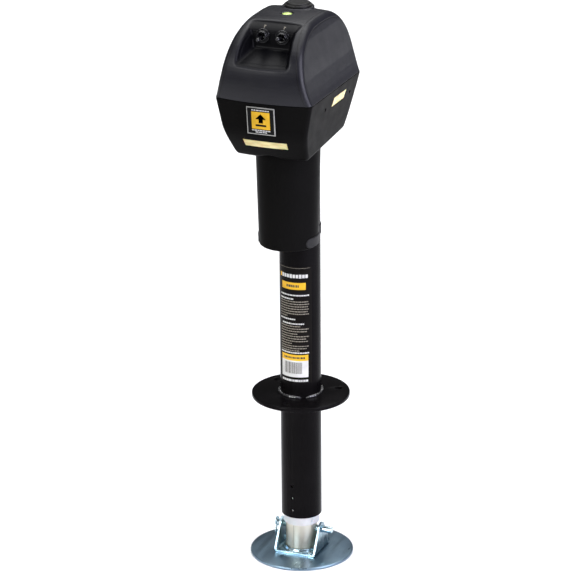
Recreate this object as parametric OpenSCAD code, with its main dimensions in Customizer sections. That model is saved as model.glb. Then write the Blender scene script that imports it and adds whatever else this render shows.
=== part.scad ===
// Electric trailer tongue jack, fully retracted: a motor head on a flanged tube, a screw-driven ram
// and a pinned drop foot. Millimetres, +Z up along the tube. The origin is on the tube's axis, in
// the underside of the mounting flange. The control panel faces -Y.

/* [Tubes] */
// Outside diameter of the fixed outer tube
tube_d = 57.15; // [57:0.05:57.5]
// Wall of the outer tube
tube_wall = 3.2; // [3:0.05:3.3]
// Length of the outer tube below the flange
tube_below = 178.4; // [170:0.2:180]
// Outside diameter of the ram tube
ram_d = 44.45; // [44:0.05:44.5]
// Travel of the ram
stroke = 457; // [400:1:457]

/* [Flange] */
// Diameter of the mounting flange
flange_d = 137.6; // [130:0.2:140]
// Thickness of the mounting flange
flange_t = 6; // [5:0.5:8]
// Bolt circle of the three flange holes
flange_pcd = 106.4; // [104:0.1:108]
// Diameter of a flange hole
flange_hole_d = 10.6; // [10:0.1:11]

/* [Foot] */
// Diameter of the foot plate
foot_d = 146; // [140:1:152]
// Height of the foot plate's underside, below the flange's underside
foot_drop = 238.7; // [236:0.1:240]
// Thickness of the foot plate
foot_t = 4; // [3:0.5:4]
// Diameter of the foot's pull pin
pin_d = 9.5; // [9:0.1:10]

/* [Head] */
// Height of the seam between the lower housing and the upper cover
seam_z = 464; // [460:1:468]
// Height of the top of the upper cover
top_z = 562; // [560:1:564]
// Half the head's width at the seam
head_half_w = 69; // [67:0.5:71]
// Wall of the plastic mouldings
wall = 3; // [2.5:0.1:3.2]

/* [Gears] */
// Pressure angle of every gear
pressure_angle = 25; // [22:0.5:25]
// Play cut from each flank, so the teeth run free
flank_play = 0.06; // [0.04:0.01:0.1]

/* [Hidden] */
$fn = 64;
eps = 0.01;
tube_r = tube_d / 2;
bore_r = tube_r - tube_wall;
ram_r = ram_d / 2;
ram_wall = 3;
running = 0.05;   // radial clearance of a turning shaft
sliding = 0.1;    // radial clearance of a nylon guide

// head outline
front_y = -136;   // front of the head on its centre line, at the seam
back_y = 56;
bow_r = 280;      // the front is bowed to this radius
lean = 0.2;       // how far each side leans in, per millimetre of height
floor_front = [-103, 378];
floor_back = [33, 388];
nose = [-131, 418];

// motor skirt: a drafted round column in front of the tube
skirt_y = -40;
skirt_r = 40.7;
skirt_top_r = 44.5;
skirt_z = 238.6;
skirt_top_z = 392;
skirt_draft = (skirt_top_r - skirt_r) / (skirt_top_z - skirt_z);

// gear box
plate_z = 400;
plate_t = 5;
upper_plate_z = 440;
motor_y = -53;
motor_r = 24;
motor_bottom_z = 258;
magnet_z = 290;
magnet_h = 80;
core_r = 16;
core_z = 295;
core_h = 70;
low_gear_z = 409;
high_gear_z = 423;
gear_t = 12;
screw_module = 1.5;
motor_module = 1.25;
out_teeth = 42;
idler_small_teeth = 14;
idler_big_teeth = 38;
pinion_teeth = 12;
// the idler stands where both centre distances are met
out_c = screw_module * (out_teeth + idler_small_teeth) / 2;
motor_c = motor_module * (idler_big_teeth + pinion_teeth) / 2;
idler_y = (motor_c * motor_c - out_c * out_c - motor_y * motor_y) / (-2 * motor_y);
idler_x = sqrt(out_c * out_c - idler_y * idler_y);
to_idler = atan2(idler_y, idler_x);
to_motor = atan2(motor_y - idler_y, -idler_x);
standoffs = [[-29, 26], [29, 26], [-30, -72], [30, -78]];

// drive screw
screw_r = 10;
journal_r = 9;
shaft_r = 8;
screw_bottom_z = -155;
bearing_r = 21;
balls = 12;
ball_r = 3.2;
ball_circle_r = 15;
ball_z = 390.5;
lower_race = [380.2, 384.8];
upper_race_z = 396.2;
hex_af = 19;
hex_z = 534;
hex_top_z = 552;

// ram and foot
plate_top_z = -foot_drop + foot_t;
bracket_t = 3;
ram_bottom_z = plate_top_z + bracket_t + 0.4;
ram_top_z = 340;
nut_t = 30;
ear_x = 31;       // outer face of each bracket ear
pin_z = -201.5;
clip_x = -36;
clip_wire = 2.5;
clip_gap = 8.5;
loop_z = pin_z + 5.2;
rivet_at = [21.5, -22];
rivet_r = 3;

// control recess
recess_y = -93;
recess_z = 527;
recess_tilt = 8;
floor_slope = 20;
switch_x = 14;
switch_z = 544;
switch_y = recess_y + (switch_z - recess_z) * tan(recess_tilt);
lever_tilt = 13;

// crank port and level
cap_r = 19;
port_r = 14;
boss_z = 562.8;
level_y = -39.4;
level_r = 8.5;

// lamps and badge
lens_z = 403;
lens_w = 63;
lens_h = 11;
side_lens_z = 445.2;
housing_screw_z = 442.6;
grommet = [-32, 21.5];
badge = [40, 39, 1.4];
badge_z = 440;
breaker_at = [-52, 8, 418];
breaker = [14, 26, 24];

// strap
strap_z = 240.5;
strap_h = 14;
strap_t = 2.2;
strap_sunk = 1.4;
strap_from_y = -62;

// ---------- shared shapes ----------

// Points along a cubic curve through the first and last of four control points
function curve(p, n = 10) = [for (i = [0:n]) let (t = i / n, u = 1 - t)
  u * u * u * p[0] + 3 * u * u * t * p[1] + 3 * u * t * t * p[2] + t * t * t * p[3]];

// Extrudes a Y-Z outline along X, to both sides
module along_x(outline, half) {
  rotate([90, 0, 90]) translate([0, 0, -half]) linear_extrude(2 * half) polygon(outline);
}

// Extrudes an X-Z outline along Y, from one Y to another
module along_y(outline, from_y, to_y) {
  translate([0, to_y, 0]) rotate([90, 0, 0]) linear_extrude(to_y - from_y) polygon(outline);
}

module tube(outer, inner, low, high) {
  translate([0, 0, low]) difference() {
    cylinder(r = outer, h = high - low);
    translate([0, 0, -1]) cylinder(r = inner, h = high - low + 2);
  }
}

module box(low, high) {
  translate(low) cube(high - low);
}

// Pan-head screw along +Z with its head's underside at the origin, with a driver socket
module screw(head_r, head_h, r, length, socket_r) {
  difference() {
    union() {
      cylinder(r = head_r, h = head_h);
      translate([0, 0, -length]) cylinder(r = r, h = length + eps);
    }
    translate([0, 0, head_h - 1.2]) cylinder(r = socket_r, h = 2, $fn = 6);
  }
}

// ---------- gears ----------

function involute(base_r, t) = base_r * [cos(t) + t * PI / 180 * sin(t), sin(t) - t * PI / 180 * cos(t)];
function roll(base_r, r) = sqrt(max(0, r * r / (base_r * base_r) - 1)) * 180 / PI;

// One spur gear outline with a tooth centred on the given direction
module gear_outline(m, teeth, facing) {
  pitch_r = m * teeth / 2;
  base_r = pitch_r * cos(pressure_angle);
  tip_r = pitch_r + 0.95 * m;
  root_r = pitch_r - 1.3 * m;
  start_r = max(base_r, root_r + 0.05);
  at_pitch = involute(base_r, roll(base_r, pitch_r));
  half = 90 / teeth - flank_play * 180 / PI / pitch_r + atan2(at_pitch[1], at_pitch[0]);
  flank = [for (i = [0:5]) let (p = involute(base_r, roll(base_r, start_r + (tip_r - start_r) * i / 5)))
    [norm(p), half - atan2(p[1], p[0])]];
  foot = [root_r, half];
  side = concat([foot], flank);
  polygon([for (k = [0:teeth - 1]) let (a = facing + k * 360 / teeth) each concat(
    [for (s = side) s[0] * [cos(a - s[1]), sin(a - s[1])]],
    [for (i = [len(side) - 1:-1:0]) side[i][0] * [cos(a + side[i][1]), sin(a + side[i][1])]])]);
}

module gear(m, teeth, facing, thickness) {
  linear_extrude(thickness) gear_outline(m, teeth, facing);
}

// ---------- head shell ----------

// Outlines of the upper cover, drawn in by i for its inside
function cover_side(i) = concat(
  curve([[front_y + i, seam_z], [front_y - 7 + i, seam_z + 41], [-125 + i, top_z - 6 - i], [-62, top_z - i]]),
  curve([[-62, top_z - i], [-30, top_z + 1 - i], [0, top_z - i], [12, top_z - 4 - i]], 5),
  curve([[12, top_z - 4 - i], [45 - i, top_z - 16 - i], [60 - i, top_z - 47], [back_y - i, seam_z]]));
function cover_half(i) = concat(
  curve([[head_half_w - i, seam_z], [61 - i, seam_z + 28], [55 - i, seam_z + 58], [49.5 - i, top_z - 16]], 6),
  curve([[49.5 - i, top_z - 16], [46 - i, top_z - 2 - i], [30, top_z - i], [0, top_z - i]], 8));
function mirrored(half) = concat(half, [for (k = [len(half) - 2:-1:0]) [-half[k][0], half[k][1]]]);

module bow(i) {
  translate([0, front_y + bow_r, seam_z - 120]) cylinder(r = bow_r - i, h = 260, $fn = 180);
}

module cover_body(i) {
  intersection() {
    along_x(cover_side(i), 100);
    along_y(mirrored(cover_half(i)), -200, 100);
    bow(i);
  }
}

// Half width of the lower housing at a height
function half_at(z) = head_half_w - lean * (seam_z - z);

module housing_body(i, cap = 0) {
  low = floor_front[1] - 5;
  intersection() {
    along_x([[front_y + i, seam_z + cap], [nose[0] + i, nose[1]], floor_front + [i, i],
      floor_back + [-i, i], [back_y - i, seam_z + cap]], 100);
    along_y([[-head_half_w + i, seam_z + cap], [-half_at(low) + i, low], [half_at(low) - i, low],
      [head_half_w - i, seam_z + cap]], -200, 100);
    bow(i);
  }
}

// Radius of the motor skirt at a height
function skirt_at(z) = skirt_r + skirt_draft * (z - skirt_z);

module skirt_body(i, low, high) {
  translate([0, skirt_y, low]) cylinder(r1 = skirt_at(low) - i, r2 = skirt_at(high) - i, h = high - low);
}

// The hollow of the control recess, grown by g to give the moulding round it
module recess(g) {
  back = [recess_y + g, recess_z - g];
  up = 60;
  reach = 80;
  intersection() {
    along_x([back, back + up * [tan(recess_tilt), 1], [recess_y - reach, recess_z + up],
      [recess_y - reach, recess_z - g - (reach + g) * tan(floor_slope)]], 60);
    translate([0, 0, 470]) linear_extrude(140) polygon([[-31 - g, recess_y + 20], [-26 - g, recess_y],
      [-36 - g, recess_y - 35], [-36 - g, recess_y - 80], [36 + g, recess_y - 80],
      [36 + g, recess_y - 35], [26 + g, recess_y], [31 + g, recess_y + 20]]);
  }
}

// Places things on the recess's back wall, with +Z standing out of it
module on_panel(side) {
  translate([side * switch_x, switch_y, switch_z]) rotate([90 - recess_tilt, 0, 0]) children();
}

module port(r, low, high) {
  translate([0, 0, low]) cylinder(r = r, h = high - low);
}

// ---------- tube and flange ----------

module outer_tube() {
  color("black") difference() {
    tube(tube_r, bore_r, -tube_below, plate_z);
    // three small holes up the front of the lower end
    for (k = [0:2]) rotate([0, 0, -6]) translate([0, 0, -130 - 18.5 * k])
      rotate([90, 0, 0]) cylinder(r = 1.9, h = tube_r + 5);
  }
}

module mount_flange() {
  color("black") difference() {
    tube(flange_d / 2, tube_r, 0, flange_t);
    for (k = [0:2]) rotate([0, 0, 30 + 120 * k]) translate([flange_pcd / 2, 0, -1])
      cylinder(r = flange_hole_d / 2, h = flange_t + 2);
  }
}

// Fillet weld on top of the flange, in three runs
module flange_weld() {
  color("dimgray") for (k = [0:2]) rotate([0, 0, 120 * k + 66]) rotate_extrude(angle = 108)
    polygon([[tube_r, flange_t], [tube_r + 5.5, flange_t], [tube_r, flange_t + 5.5]]);
}

module guide_bush() {
  color("white") difference() {
    union() {
      tube(bore_r, ram_r + sliding, -tube_below, -tube_below + 40);
      tube(bore_r, ram_r + sliding, -tube_below - 13, -tube_below);
    }
    // three dimples that key the bush
    for (k = [0:2]) rotate([0, 0, -154 + 120 * k]) translate([bore_r - 1.4, 0, -tube_below - 6.5])
      rotate([0, 90, 0]) cylinder(r = 2.2, h = 5);
  }
}

module tube_label() {
  color("darkslategray") translate([0, 0, 28]) rotate([0, 0, -143])
    rotate_extrude(angle = 106, $fn = 128) translate([tube_r, 0]) square([0.25, 172]);
}

// ---------- head shells ----------

module side_lens_shape(grow) {
  for (side = [0, 1]) mirror([side, 0, 0]) along_x([[-41.9 - grow, side_lens_z - 6 - grow],
    [2.9 + grow, side_lens_z - 6 - grow], [8.6 + grow, side_lens_z + 6 + grow],
    [-36.7 - grow, side_lens_z + 6 + grow]], 100);
}

module front_lens_shape(grow) {
  along_y([[-lens_w / 2 - grow, lens_z + lens_h / 2 + grow], [-lens_w / 2 + 0.8 - grow, lens_z - lens_h / 2 - grow],
    [lens_w / 2 - 0.8 + grow, lens_z - lens_h / 2 - grow], [lens_w / 2 + grow, lens_z + lens_h / 2 + grow]],
    -150, -90);
}

// The badge stands on the leaning front face
module badge_place() {
  tilt = atan2(nose[0] - front_y, seam_z - nose[1]);
  y = front_y + (seam_z - badge_z) * tan(tilt);
  translate([0, y, badge_z]) rotate([tilt, 0, 0]) children();
}

module housing_screw_places() {
  for (side = [-1, 1], y = [-66, 23.2]) translate([side * half_at(housing_screw_z), y, housing_screw_z])
    rotate([0, side * 90, 0]) children();
}

module lower_housing() {
  color("black") difference() {
    union() {
      housing_body(0);
      skirt_body(0, skirt_z, floor_front[1] + 8);
    }
    housing_body(wall, 1);
    // the motor's way up into the head, and the tube's
    skirt_body(wall, skirt_z + wall, skirt_top_z + 8);
    port(tube_r + 0.3, skirt_z - 5, skirt_top_z + 20);
    // the strap's seat, the lamps' windows and the badge's seat
    intersection() {
      strap_zone(0.4);
      skirt_ring(-strap_sunk - 0.3, 6);
    }
    front_lens_shape(0.2);
    intersection() {
      side_lens_shape(0.2);
      union() {
        box([40, -60, 430], [80, 20, 460]);
        box([-80, -60, 430], [-40, 20, 460]);
      }
    }
    badge_place() translate([-badge[0] / 2 - 0.2, -3, -badge[1] / 2 - 0.2])
      cube([badge[0] + 0.4, 4, badge[1] + 0.4]);
    housing_screw_places() cylinder(r = 2.6, h = 12, center = true);
    translate([grommet[0], grommet[1], 380]) cylinder(r = 7.1, h = 20);
  }
}

module upper_cover() {
  color("#1c1c20") difference() {
    union() {
      difference() {
        cover_body(0);
        cover_body(wall);
      }
      intersection() {
        cover_body(0);
        recess(wall);
      }
      port(port_r + 8, top_z - 9, boss_z);
    }
    recess(0);
    port(port_r, top_z - 20, top_z + 10);
    translate([0, level_y, top_z - 5.5]) cylinder(r = level_r + 0.1, h = 20);
    for (side = [-1, 1]) on_panel(side) cylinder(r = 6.1, h = 20, center = true);
    box([-100, -200, seam_z - 20], [100, 200, seam_z]);
  }
}

module housing_screws() {
  color("#303030") housing_screw_places() translate([0, 0, -3]) screw(2.4, 1.6, 1.8, 9, 1.2);
}

// The strap's reach: from a round end on each side of the skirt to the back of the tube
module strap_zone(grow) {
  middle_z = strap_z + strap_h / 2;
  r = strap_h / 2 + grow;
  box([-80, strap_from_y + strap_h / 2, middle_z - r], [80, 60, middle_z + r]);
  translate([-80, strap_from_y + strap_h / 2, middle_z]) rotate([0, 90, 0]) cylinder(r = r, h = 160);
}

module skirt_ring(low_r, high_r) {
  r = skirt_at(strap_z);
  translate([0, skirt_y, 0]) tube(r + high_r, r + low_r, strap_z - 2, strap_z + strap_h + 2);
}

// Band that follows the skirt and closes round the back of the tube
module strap_band() {
  r = skirt_at(strap_z);
  intersection() {
    strap_zone(0);
    difference() {
      union() {
        translate([0, skirt_y, strap_z - 1]) cylinder(r = r + strap_t - strap_sunk, h = strap_h + 2);
        port(tube_r + 0.6 + strap_t, strap_z - 1, strap_z + strap_h + 1);
      }
      translate([0, skirt_y, strap_z - 2]) cylinder(r = r - strap_sunk, h = strap_h + 4);
      port(tube_r + 0.6, strap_z - 2, strap_z + strap_h + 2);
    }
  }
}

module rear_strap() {
  color("dimgray") difference() {
    strap_band();
    strap_screw_places() cylinder(r = 2.2, h = 12, center = true);
  }
}

module strap_screw_places() {
  for (side = [-1, 1]) translate([side * 9, tube_r + 1.5, strap_z + strap_h / 2]) rotate([-90, 0, 0]) children();
}

module strap_screws() {
  color("silver") strap_screw_places() translate([0, 0, 2.2]) screw(3.6, 2, 2, 0.5, 1.2);
}

module front_lens() {
  color("lightyellow") intersection() {
    front_lens_shape(0);
    difference() {
      housing_body(0.3);
      housing_body(2.6);
    }
  }
}

module side_lenses() {
  color("lightyellow") intersection() {
    side_lens_shape(0);
    difference() {
      housing_body(0.3);
      housing_body(2.6);
    }
    union() {
      box([40, -60, 430], [80, 20, 460]);
      box([-80, -60, 430], [-40, 20, 460]);
    }
  }
}

// Light-emitting boards behind the three lenses
module lamp_boards() {
  color("seagreen") {
    translate([-28, -112, lens_z - 5]) cube([56, 1.6, 9]);
    for (side = [0, 1]) mirror([side, 0, 0]) translate([54, -36, side_lens_z - 5]) cube([1.6, 40, 9]);
  }
}

module badge_plate() {
  color("gold") badge_place() translate([-badge[0] / 2, -badge[2] + 0.4, -badge[1] / 2])
    cube([badge[0], badge[2], badge[1]]);
}

module lead_grommet() {
  color("#202020") translate([grommet[0], grommet[1], 0]) difference() {
    union() {
      port(7, 381, 392);
      port(9, 379.5, 382);
    }
    port(3, 370, 400);
  }
}

// ---------- gear box ----------

module plate_outline() {
  translate([-36, -84]) square([72, 116]);
}

module gear_plate() {
  color("darkgray") difference() {
    translate([0, 0, plate_z]) linear_extrude(plate_t) plate_outline();
    port(journal_r + running, plate_z - 1, plate_z + plate_t + 1);
    translate([0, motor_y, 0]) port(8, plate_z - 1, plate_z + plate_t + 1);
    translate([idler_x, idler_y, 0]) port(5, plate_z - 1, plate_z + plate_t + 1);
    motor_screw_places() port(2.6, plate_z - 1, plate_z + plate_t + 1);
  }
}

module upper_plate() {
  color("darkgray") difference() {
    translate([0, 0, upper_plate_z]) linear_extrude(4) plate_outline();
    port(journal_r + running, upper_plate_z - 1, upper_plate_z + 5);
    translate([0, motor_y, 0]) port(4 + running, upper_plate_z - 1, upper_plate_z + 5);
    translate([idler_x, idler_y, 0]) port(5, upper_plate_z - 1, upper_plate_z + 5);
    for (p = standoffs) translate([p[0], p[1], 0]) port(2.5, upper_plate_z - 1, upper_plate_z + 5);
  }
}

module plate_standoffs() {
  color("silver") for (p = standoffs) translate([p[0], p[1], 0]) difference() {
    port(5, plate_z + plate_t, upper_plate_z);
    port(2.5, upper_plate_z - 12, upper_plate_z + 1);
  }
}

module plate_screws() {
  color("silver") for (p = standoffs) translate([p[0], p[1], upper_plate_z + 4]) screw(4.5, 3.5, 2.4, 12, 2);
}

module idler_axle() {
  color("silver") translate([idler_x, idler_y, 0]) port(5, plate_z, upper_plate_z + 4);
}

// Felt seal over the screw's journal, on the upper plate
module gear_seal() {
  color("saddlebrown") tube(14, journal_r + 0.2, upper_plate_z + 4, upper_plate_z + 7);
}

module motor_can() {
  color("dimgray") translate([0, motor_y, 0]) difference() {
    port(motor_r, motor_bottom_z + 7, plate_z);
    port(motor_r - 2, motor_bottom_z + 6, plate_z - 4);
    port(4 + running, plate_z - 10, plate_z + 1);
    translate([0, -motor_y, 0]) motor_screw_places() port(2.5, plate_z - 10, plate_z + 1);
  }
}

module motor_end_cap() {
  color("black") translate([0, motor_y, 0]) difference() {
    union() {
      port(motor_r - 0.4, motor_bottom_z, motor_bottom_z + 7);
      port(7, motor_bottom_z - 6, motor_bottom_z);
    }
    port(4 + running, motor_bottom_z - 4, motor_bottom_z + 8);
  }
}

module motor_magnets() {
  color("#2a2a2a") translate([0, motor_y, magnet_z]) for (side = [0, 180]) rotate([0, 0, side - 60])
    rotate_extrude(angle = 120) translate([core_r + 1.5, 0]) square([4.5, magnet_h]);
}

module motor_screw_places() {
  for (side = [-1, 1]) translate([side * 16, motor_y, 0]) children();
}

module motor_screws() {
  color("silver") motor_screw_places() translate([0, 0, plate_z + plate_t]) screw(4, 3, 2.4, 9, 1.7);
}

// Laminated core, commutator and shaft of the motor
module motor_armature() {
  color("chocolate") translate([0, motor_y, 0]) union() {
    port(4, motor_bottom_z - 3, upper_plate_z + 3);
    port(core_r, core_z, core_z + core_h);
    port(9, 272, 286);
  }
}

module motor_pinion() {
  color("silver") translate([0, motor_y, high_gear_z - 1]) difference() {
    gear(motor_module, pinion_teeth, to_motor + 180 + 180 / pinion_teeth, gear_t + 2);
    translate([0, 0, -1]) cylinder(r = 4, h = gear_t + 4);
  }
}

module idler_gear() {
  color("silver") translate([idler_x, idler_y, 0]) difference() {
    union() {
      translate([0, 0, low_gear_z]) gear(screw_module, idler_small_teeth,
        to_idler + 180 + 180 / idler_small_teeth, gear_t + 0.5);
      translate([0, 0, high_gear_z]) gear(motor_module, idler_big_teeth, to_motor, gear_t);
      port(8, low_gear_z - 3, high_gear_z + gear_t + 4);
    }
    port(5 + running, low_gear_z - 5, upper_plate_z);
  }
}

module output_gear() {
  color("silver") translate([0, 0, low_gear_z]) difference() {
    union() {
      gear(screw_module, out_teeth, to_idler, gear_t);
      translate([0, 0, -3]) cylinder(r = 15, h = gear_t + 7);
    }
    translate([0, 0, -4]) cylinder(r = journal_r, h = gear_t + 10);
  }
}

module drive_screw() {
  color("silver") union() {
    port(screw_r, screw_bottom_z, 378);
    port(17, 374, 380);
    port(journal_r, 378, 462);
    port(shaft_r, 462, hex_z + 1);
    translate([0, 0, hex_z]) cylinder(r = hex_af / 2 / cos(30), h = hex_top_z - hex_z, $fn = 6);
  }
}

// Snap ring that holds the output gear down on the journal
module gear_circlip() {
  color("#404040") translate([0, 0, low_gear_z + gear_t + 4]) rotate([0, 0, 20])
    rotate_extrude(angle = 320) translate([journal_r, 0]) square([2.2, 1.2]);
}

module bearing_races() {
  color("silver") {
    tube(bearing_r, journal_r + 0.3, upper_race_z, plate_z);
    tube(bearing_r, journal_r + 0.3, lower_race[0], lower_race[1]);
  }
}

module bearing_balls() {
  color("silver") for (k = [0:balls - 1]) rotate([0, 0, 360 / balls * k])
    translate([ball_circle_r, 0, ball_z]) sphere(r = ball_r);
}

module bearing_cage() {
  color("goldenrod") difference() {
    tube(bearing_r - 1, journal_r + 1.5, ball_z - 0.8, ball_z + 0.8);
    for (k = [0:balls - 1]) rotate([0, 0, 360 / balls * k]) translate([ball_circle_r, 0, ball_z - 10])
      cylinder(r = ball_r + 0.15, h = 20);
  }
}

// ---------- ram and foot ----------

module ram_tube() {
  color("lightgray") difference() {
    tube(ram_r, ram_r - ram_wall, ram_bottom_z, ram_top_z);
    translate([0, 0, pin_z]) rotate([0, 90, 0]) cylinder(r = pin_d / 2 + 0.25, h = 100, center = true);
  }
}

module screw_nut() {
  color("darkgoldenrod") difference() {
    port(ram_r - ram_wall, ram_top_z - nut_t, ram_top_z);
    port(screw_r + running, ram_top_z - nut_t - 1, ram_top_z + 1);
  }
}

// Nylon ring on the ram's upper end, held between its own lips
module ram_guide_ring() {
  color("white") tube(bore_r - sliding, ram_r, ram_top_z - 19, ram_top_z - 2);
}

module foot_plate() {
  color("lightsteelblue") difference() {
    translate([0, 0, -foot_drop]) cylinder(r = foot_d / 2, h = foot_t, $fn = 128);
    rivet_places() port(rivet_r, -foot_drop - 1, plate_top_z + 1);
  }
}

module rivet_places() {
  for (side = [-1, 1]) translate(side * rivet_at) children();
}

// Folded yoke: a base with a raised ring round the ram, and an ear either side
module foot_bracket() {
  color("lightsteelblue") difference() {
    union() {
      box([-ear_x, -29, plate_top_z], [ear_x, 29, plate_top_z + bracket_t]);
      tube(ram_r + 3.4, ram_r + 0.4, plate_top_z, plate_top_z + bracket_t + 4);
      for (side = [-1, 1]) intersection() {
        box([side > 0 ? ear_x - bracket_t : -ear_x, -40, plate_top_z],
          [side > 0 ? ear_x : -ear_x + bracket_t, 40, pin_z + 20]);
        along_x(ear_outline(), 60);
      }
    }
    translate([0, 0, pin_z]) rotate([0, 90, 0]) cylinder(r = pin_d / 2 + running, h = 100, center = true);
    rivet_places() port(rivet_r, -foot_drop - 1, plate_top_z + bracket_t + 1);
  }
}

// An ear narrows from the base to a round top about the pin
function ear_outline() = let (r = 10, side = 20) concat([[-29, plate_top_z], [29, plate_top_z], [29, plate_top_z + 4]],
  [for (a = [side:20:180 - side]) [r * cos(a), pin_z + r * sin(a)]], [[-29, plate_top_z + 4]]);

module foot_rivets() {
  color("silver") rivet_places() {
    port(rivet_r, -foot_drop + 0.3, plate_top_z + bracket_t);
    port(4.6, plate_top_z + bracket_t, plate_top_z + bracket_t + 2);
  }
}

module pull_pin() {
  color("lightsteelblue") translate([0, 0, pin_z]) rotate([0, 90, 0]) difference() {
    union() {
      translate([0, 0, -40]) cylinder(r = pin_d / 2, h = 85);
      translate([0, 0, 45]) cylinder(r1 = pin_d / 2, r2 = pin_d / 2 - 1, h = 1.5);
    }
    translate([0, 0, clip_x]) rotate([0, 90, 0]) cylinder(r = clip_wire / 2 + 0.15, h = 30, center = true);
  }
}

// Hairpin clip: one leg through the pin, the other in front of it
module pin_clip() {
  r = clip_gap / 2;
  color("silver") translate([clip_x, 0, 0]) union() {
    port(clip_wire / 2, loop_z - 30, loop_z);
    translate([0, -clip_gap, 0]) port(clip_wire / 2, loop_z - 25, loop_z);
    translate([0, -r, loop_z]) rotate([90, 0, 90]) rotate_extrude(angle = 180)
      translate([r, 0]) circle(r = clip_wire / 2, $fn = 24);
  }
}

// ---------- controls ----------

module switch_body() {
  difference() {
    union() {
      translate([-7, -12, -26]) cube([14, 21, 22]);
      translate([0, 0, -5]) cylinder(r = 6, h = 10);
    }
    translate([0, 0, -6]) cylinder(r1 = 2.8, r2 = 4.4, h = 11.1);
  }
}

module lever(lean_by) {
  rotate([lean_by, 0, 0]) union() {
    translate([0, 0, -2]) cylinder(r = 1.8, h = 10);
    translate([0, 0, 8]) cylinder(r1 = 1.8, r2 = 3, h = 10);
    translate([0, 0, 18]) sphere(r = 3);
  }
}

module drive_switch() {
  color("#303030") on_panel(1) switch_body();
}

module light_switch() {
  color("#303030") on_panel(-1) switch_body();
}

module drive_lever() {
  color("#101010") on_panel(1) lever(0);
}

// The lamp switch rests in its lower place
module light_lever() {
  color("#101010") on_panel(-1) lever(lever_tilt);
}

module switch_nuts() {
  color("#181818") for (side = [-1, 1]) on_panel(side) difference() {
    union() {
      cylinder(r = 9, h = 1.6);
      translate([0, 0, 1.6]) cylinder(r = 7.5, h = 2.6, $fn = 6);
    }
    translate([0, 0, -1]) cylinder(r = 6, h = 8);
  }
}

module circuit_breaker() {
  color("#383838") translate(breaker_at) union() {
    cube(breaker);
    for (y = [6, 17]) translate([4, y, breaker[2]]) cube([6, 3, 8]);
  }
}

// Plug over the crank port
module crank_cap() {
  color("#151515") difference() {
    union() {
      port(cap_r, boss_z + 0.2, boss_z + 3.2);
      translate([0, 0, boss_z + 3.2]) cylinder(r1 = 16.5, r2 = 14, h = 2.6);
      port(port_r - 0.3, boss_z - 7, boss_z + 1);
    }
    port(port_r - 2.8, boss_z - 8, boss_z + 2);
  }
}

module level_cup() {
  color("black") translate([0, level_y, top_z - 5.4]) difference() {
    cylinder(r = level_r, h = 6);
    translate([0, 0, 1.2]) cylinder(r = level_r - 1, h = 8);
  }
}

module level_vial() {
  color("yellowgreen") translate([0, level_y, top_z - 4.2]) union() {
    cylinder(r = level_r - 1.1, h = 4.4);
    translate([0, 0, 4.4]) cylinder(r1 = level_r - 1.1, r2 = level_r - 3, h = 0.8);
  }
}

outer_tube();
mount_flange();
flange_weld();
guide_bush();
tube_label();
lower_housing();
upper_cover();
housing_screws();
rear_strap();
strap_screws();
front_lens();
side_lenses();
lamp_boards();
badge_plate();
lead_grommet();
gear_plate();
upper_plate();
plate_standoffs();
plate_screws();
idler_axle();
gear_seal();
motor_can();
motor_end_cap();
motor_magnets();
motor_screws();
motor_armature();
motor_pinion();
idler_gear();
output_gear();
drive_screw();
gear_circlip();
bearing_races();
bearing_balls();
bearing_cage();
ram_tube();
screw_nut();
ram_guide_ring();
foot_plate();
foot_bracket();
foot_rivets();
pull_pin();
pin_clip();
drive_switch();
light_switch();
drive_lever();
light_lever();
switch_nuts();
circuit_breaker();
crank_cap();
level_cup();
level_vial();
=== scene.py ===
"""Electric trailer tongue jack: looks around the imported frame.

Metres, +Z up the tube, origin on the tube's axis in the flange's underside, control panel facing -Y.
The head's mouldings are isosurfaces of rounded distance fields; everything else is lathed, swept or
cut in mesh code. Every material is procedural.
"""

import math

import bmesh
import bpy
import numpy as np
from mathutils import Matrix, Vector


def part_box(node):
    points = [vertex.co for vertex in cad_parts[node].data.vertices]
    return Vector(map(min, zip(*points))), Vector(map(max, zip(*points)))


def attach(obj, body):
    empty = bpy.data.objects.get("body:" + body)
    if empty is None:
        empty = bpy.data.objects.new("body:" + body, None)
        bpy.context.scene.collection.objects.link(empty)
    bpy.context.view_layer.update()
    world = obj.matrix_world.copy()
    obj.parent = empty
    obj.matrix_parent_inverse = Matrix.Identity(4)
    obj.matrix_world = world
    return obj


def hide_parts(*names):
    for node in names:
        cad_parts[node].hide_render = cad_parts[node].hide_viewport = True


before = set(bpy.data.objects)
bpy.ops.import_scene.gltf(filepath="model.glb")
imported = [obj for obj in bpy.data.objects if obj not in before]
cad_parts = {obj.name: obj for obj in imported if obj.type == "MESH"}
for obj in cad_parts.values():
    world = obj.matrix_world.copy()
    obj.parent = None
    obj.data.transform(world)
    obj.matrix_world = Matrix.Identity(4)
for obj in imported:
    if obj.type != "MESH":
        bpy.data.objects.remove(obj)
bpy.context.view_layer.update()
MM = 0.001
TURN = 2 * math.pi


# ---------------------------------------------------------------- sizes, from the frame

def size(node):
    low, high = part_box(node)
    return high - low


def low(node, axis):
    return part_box(node)[0][axis]


def high(node, axis):
    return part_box(node)[1][axis]


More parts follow.
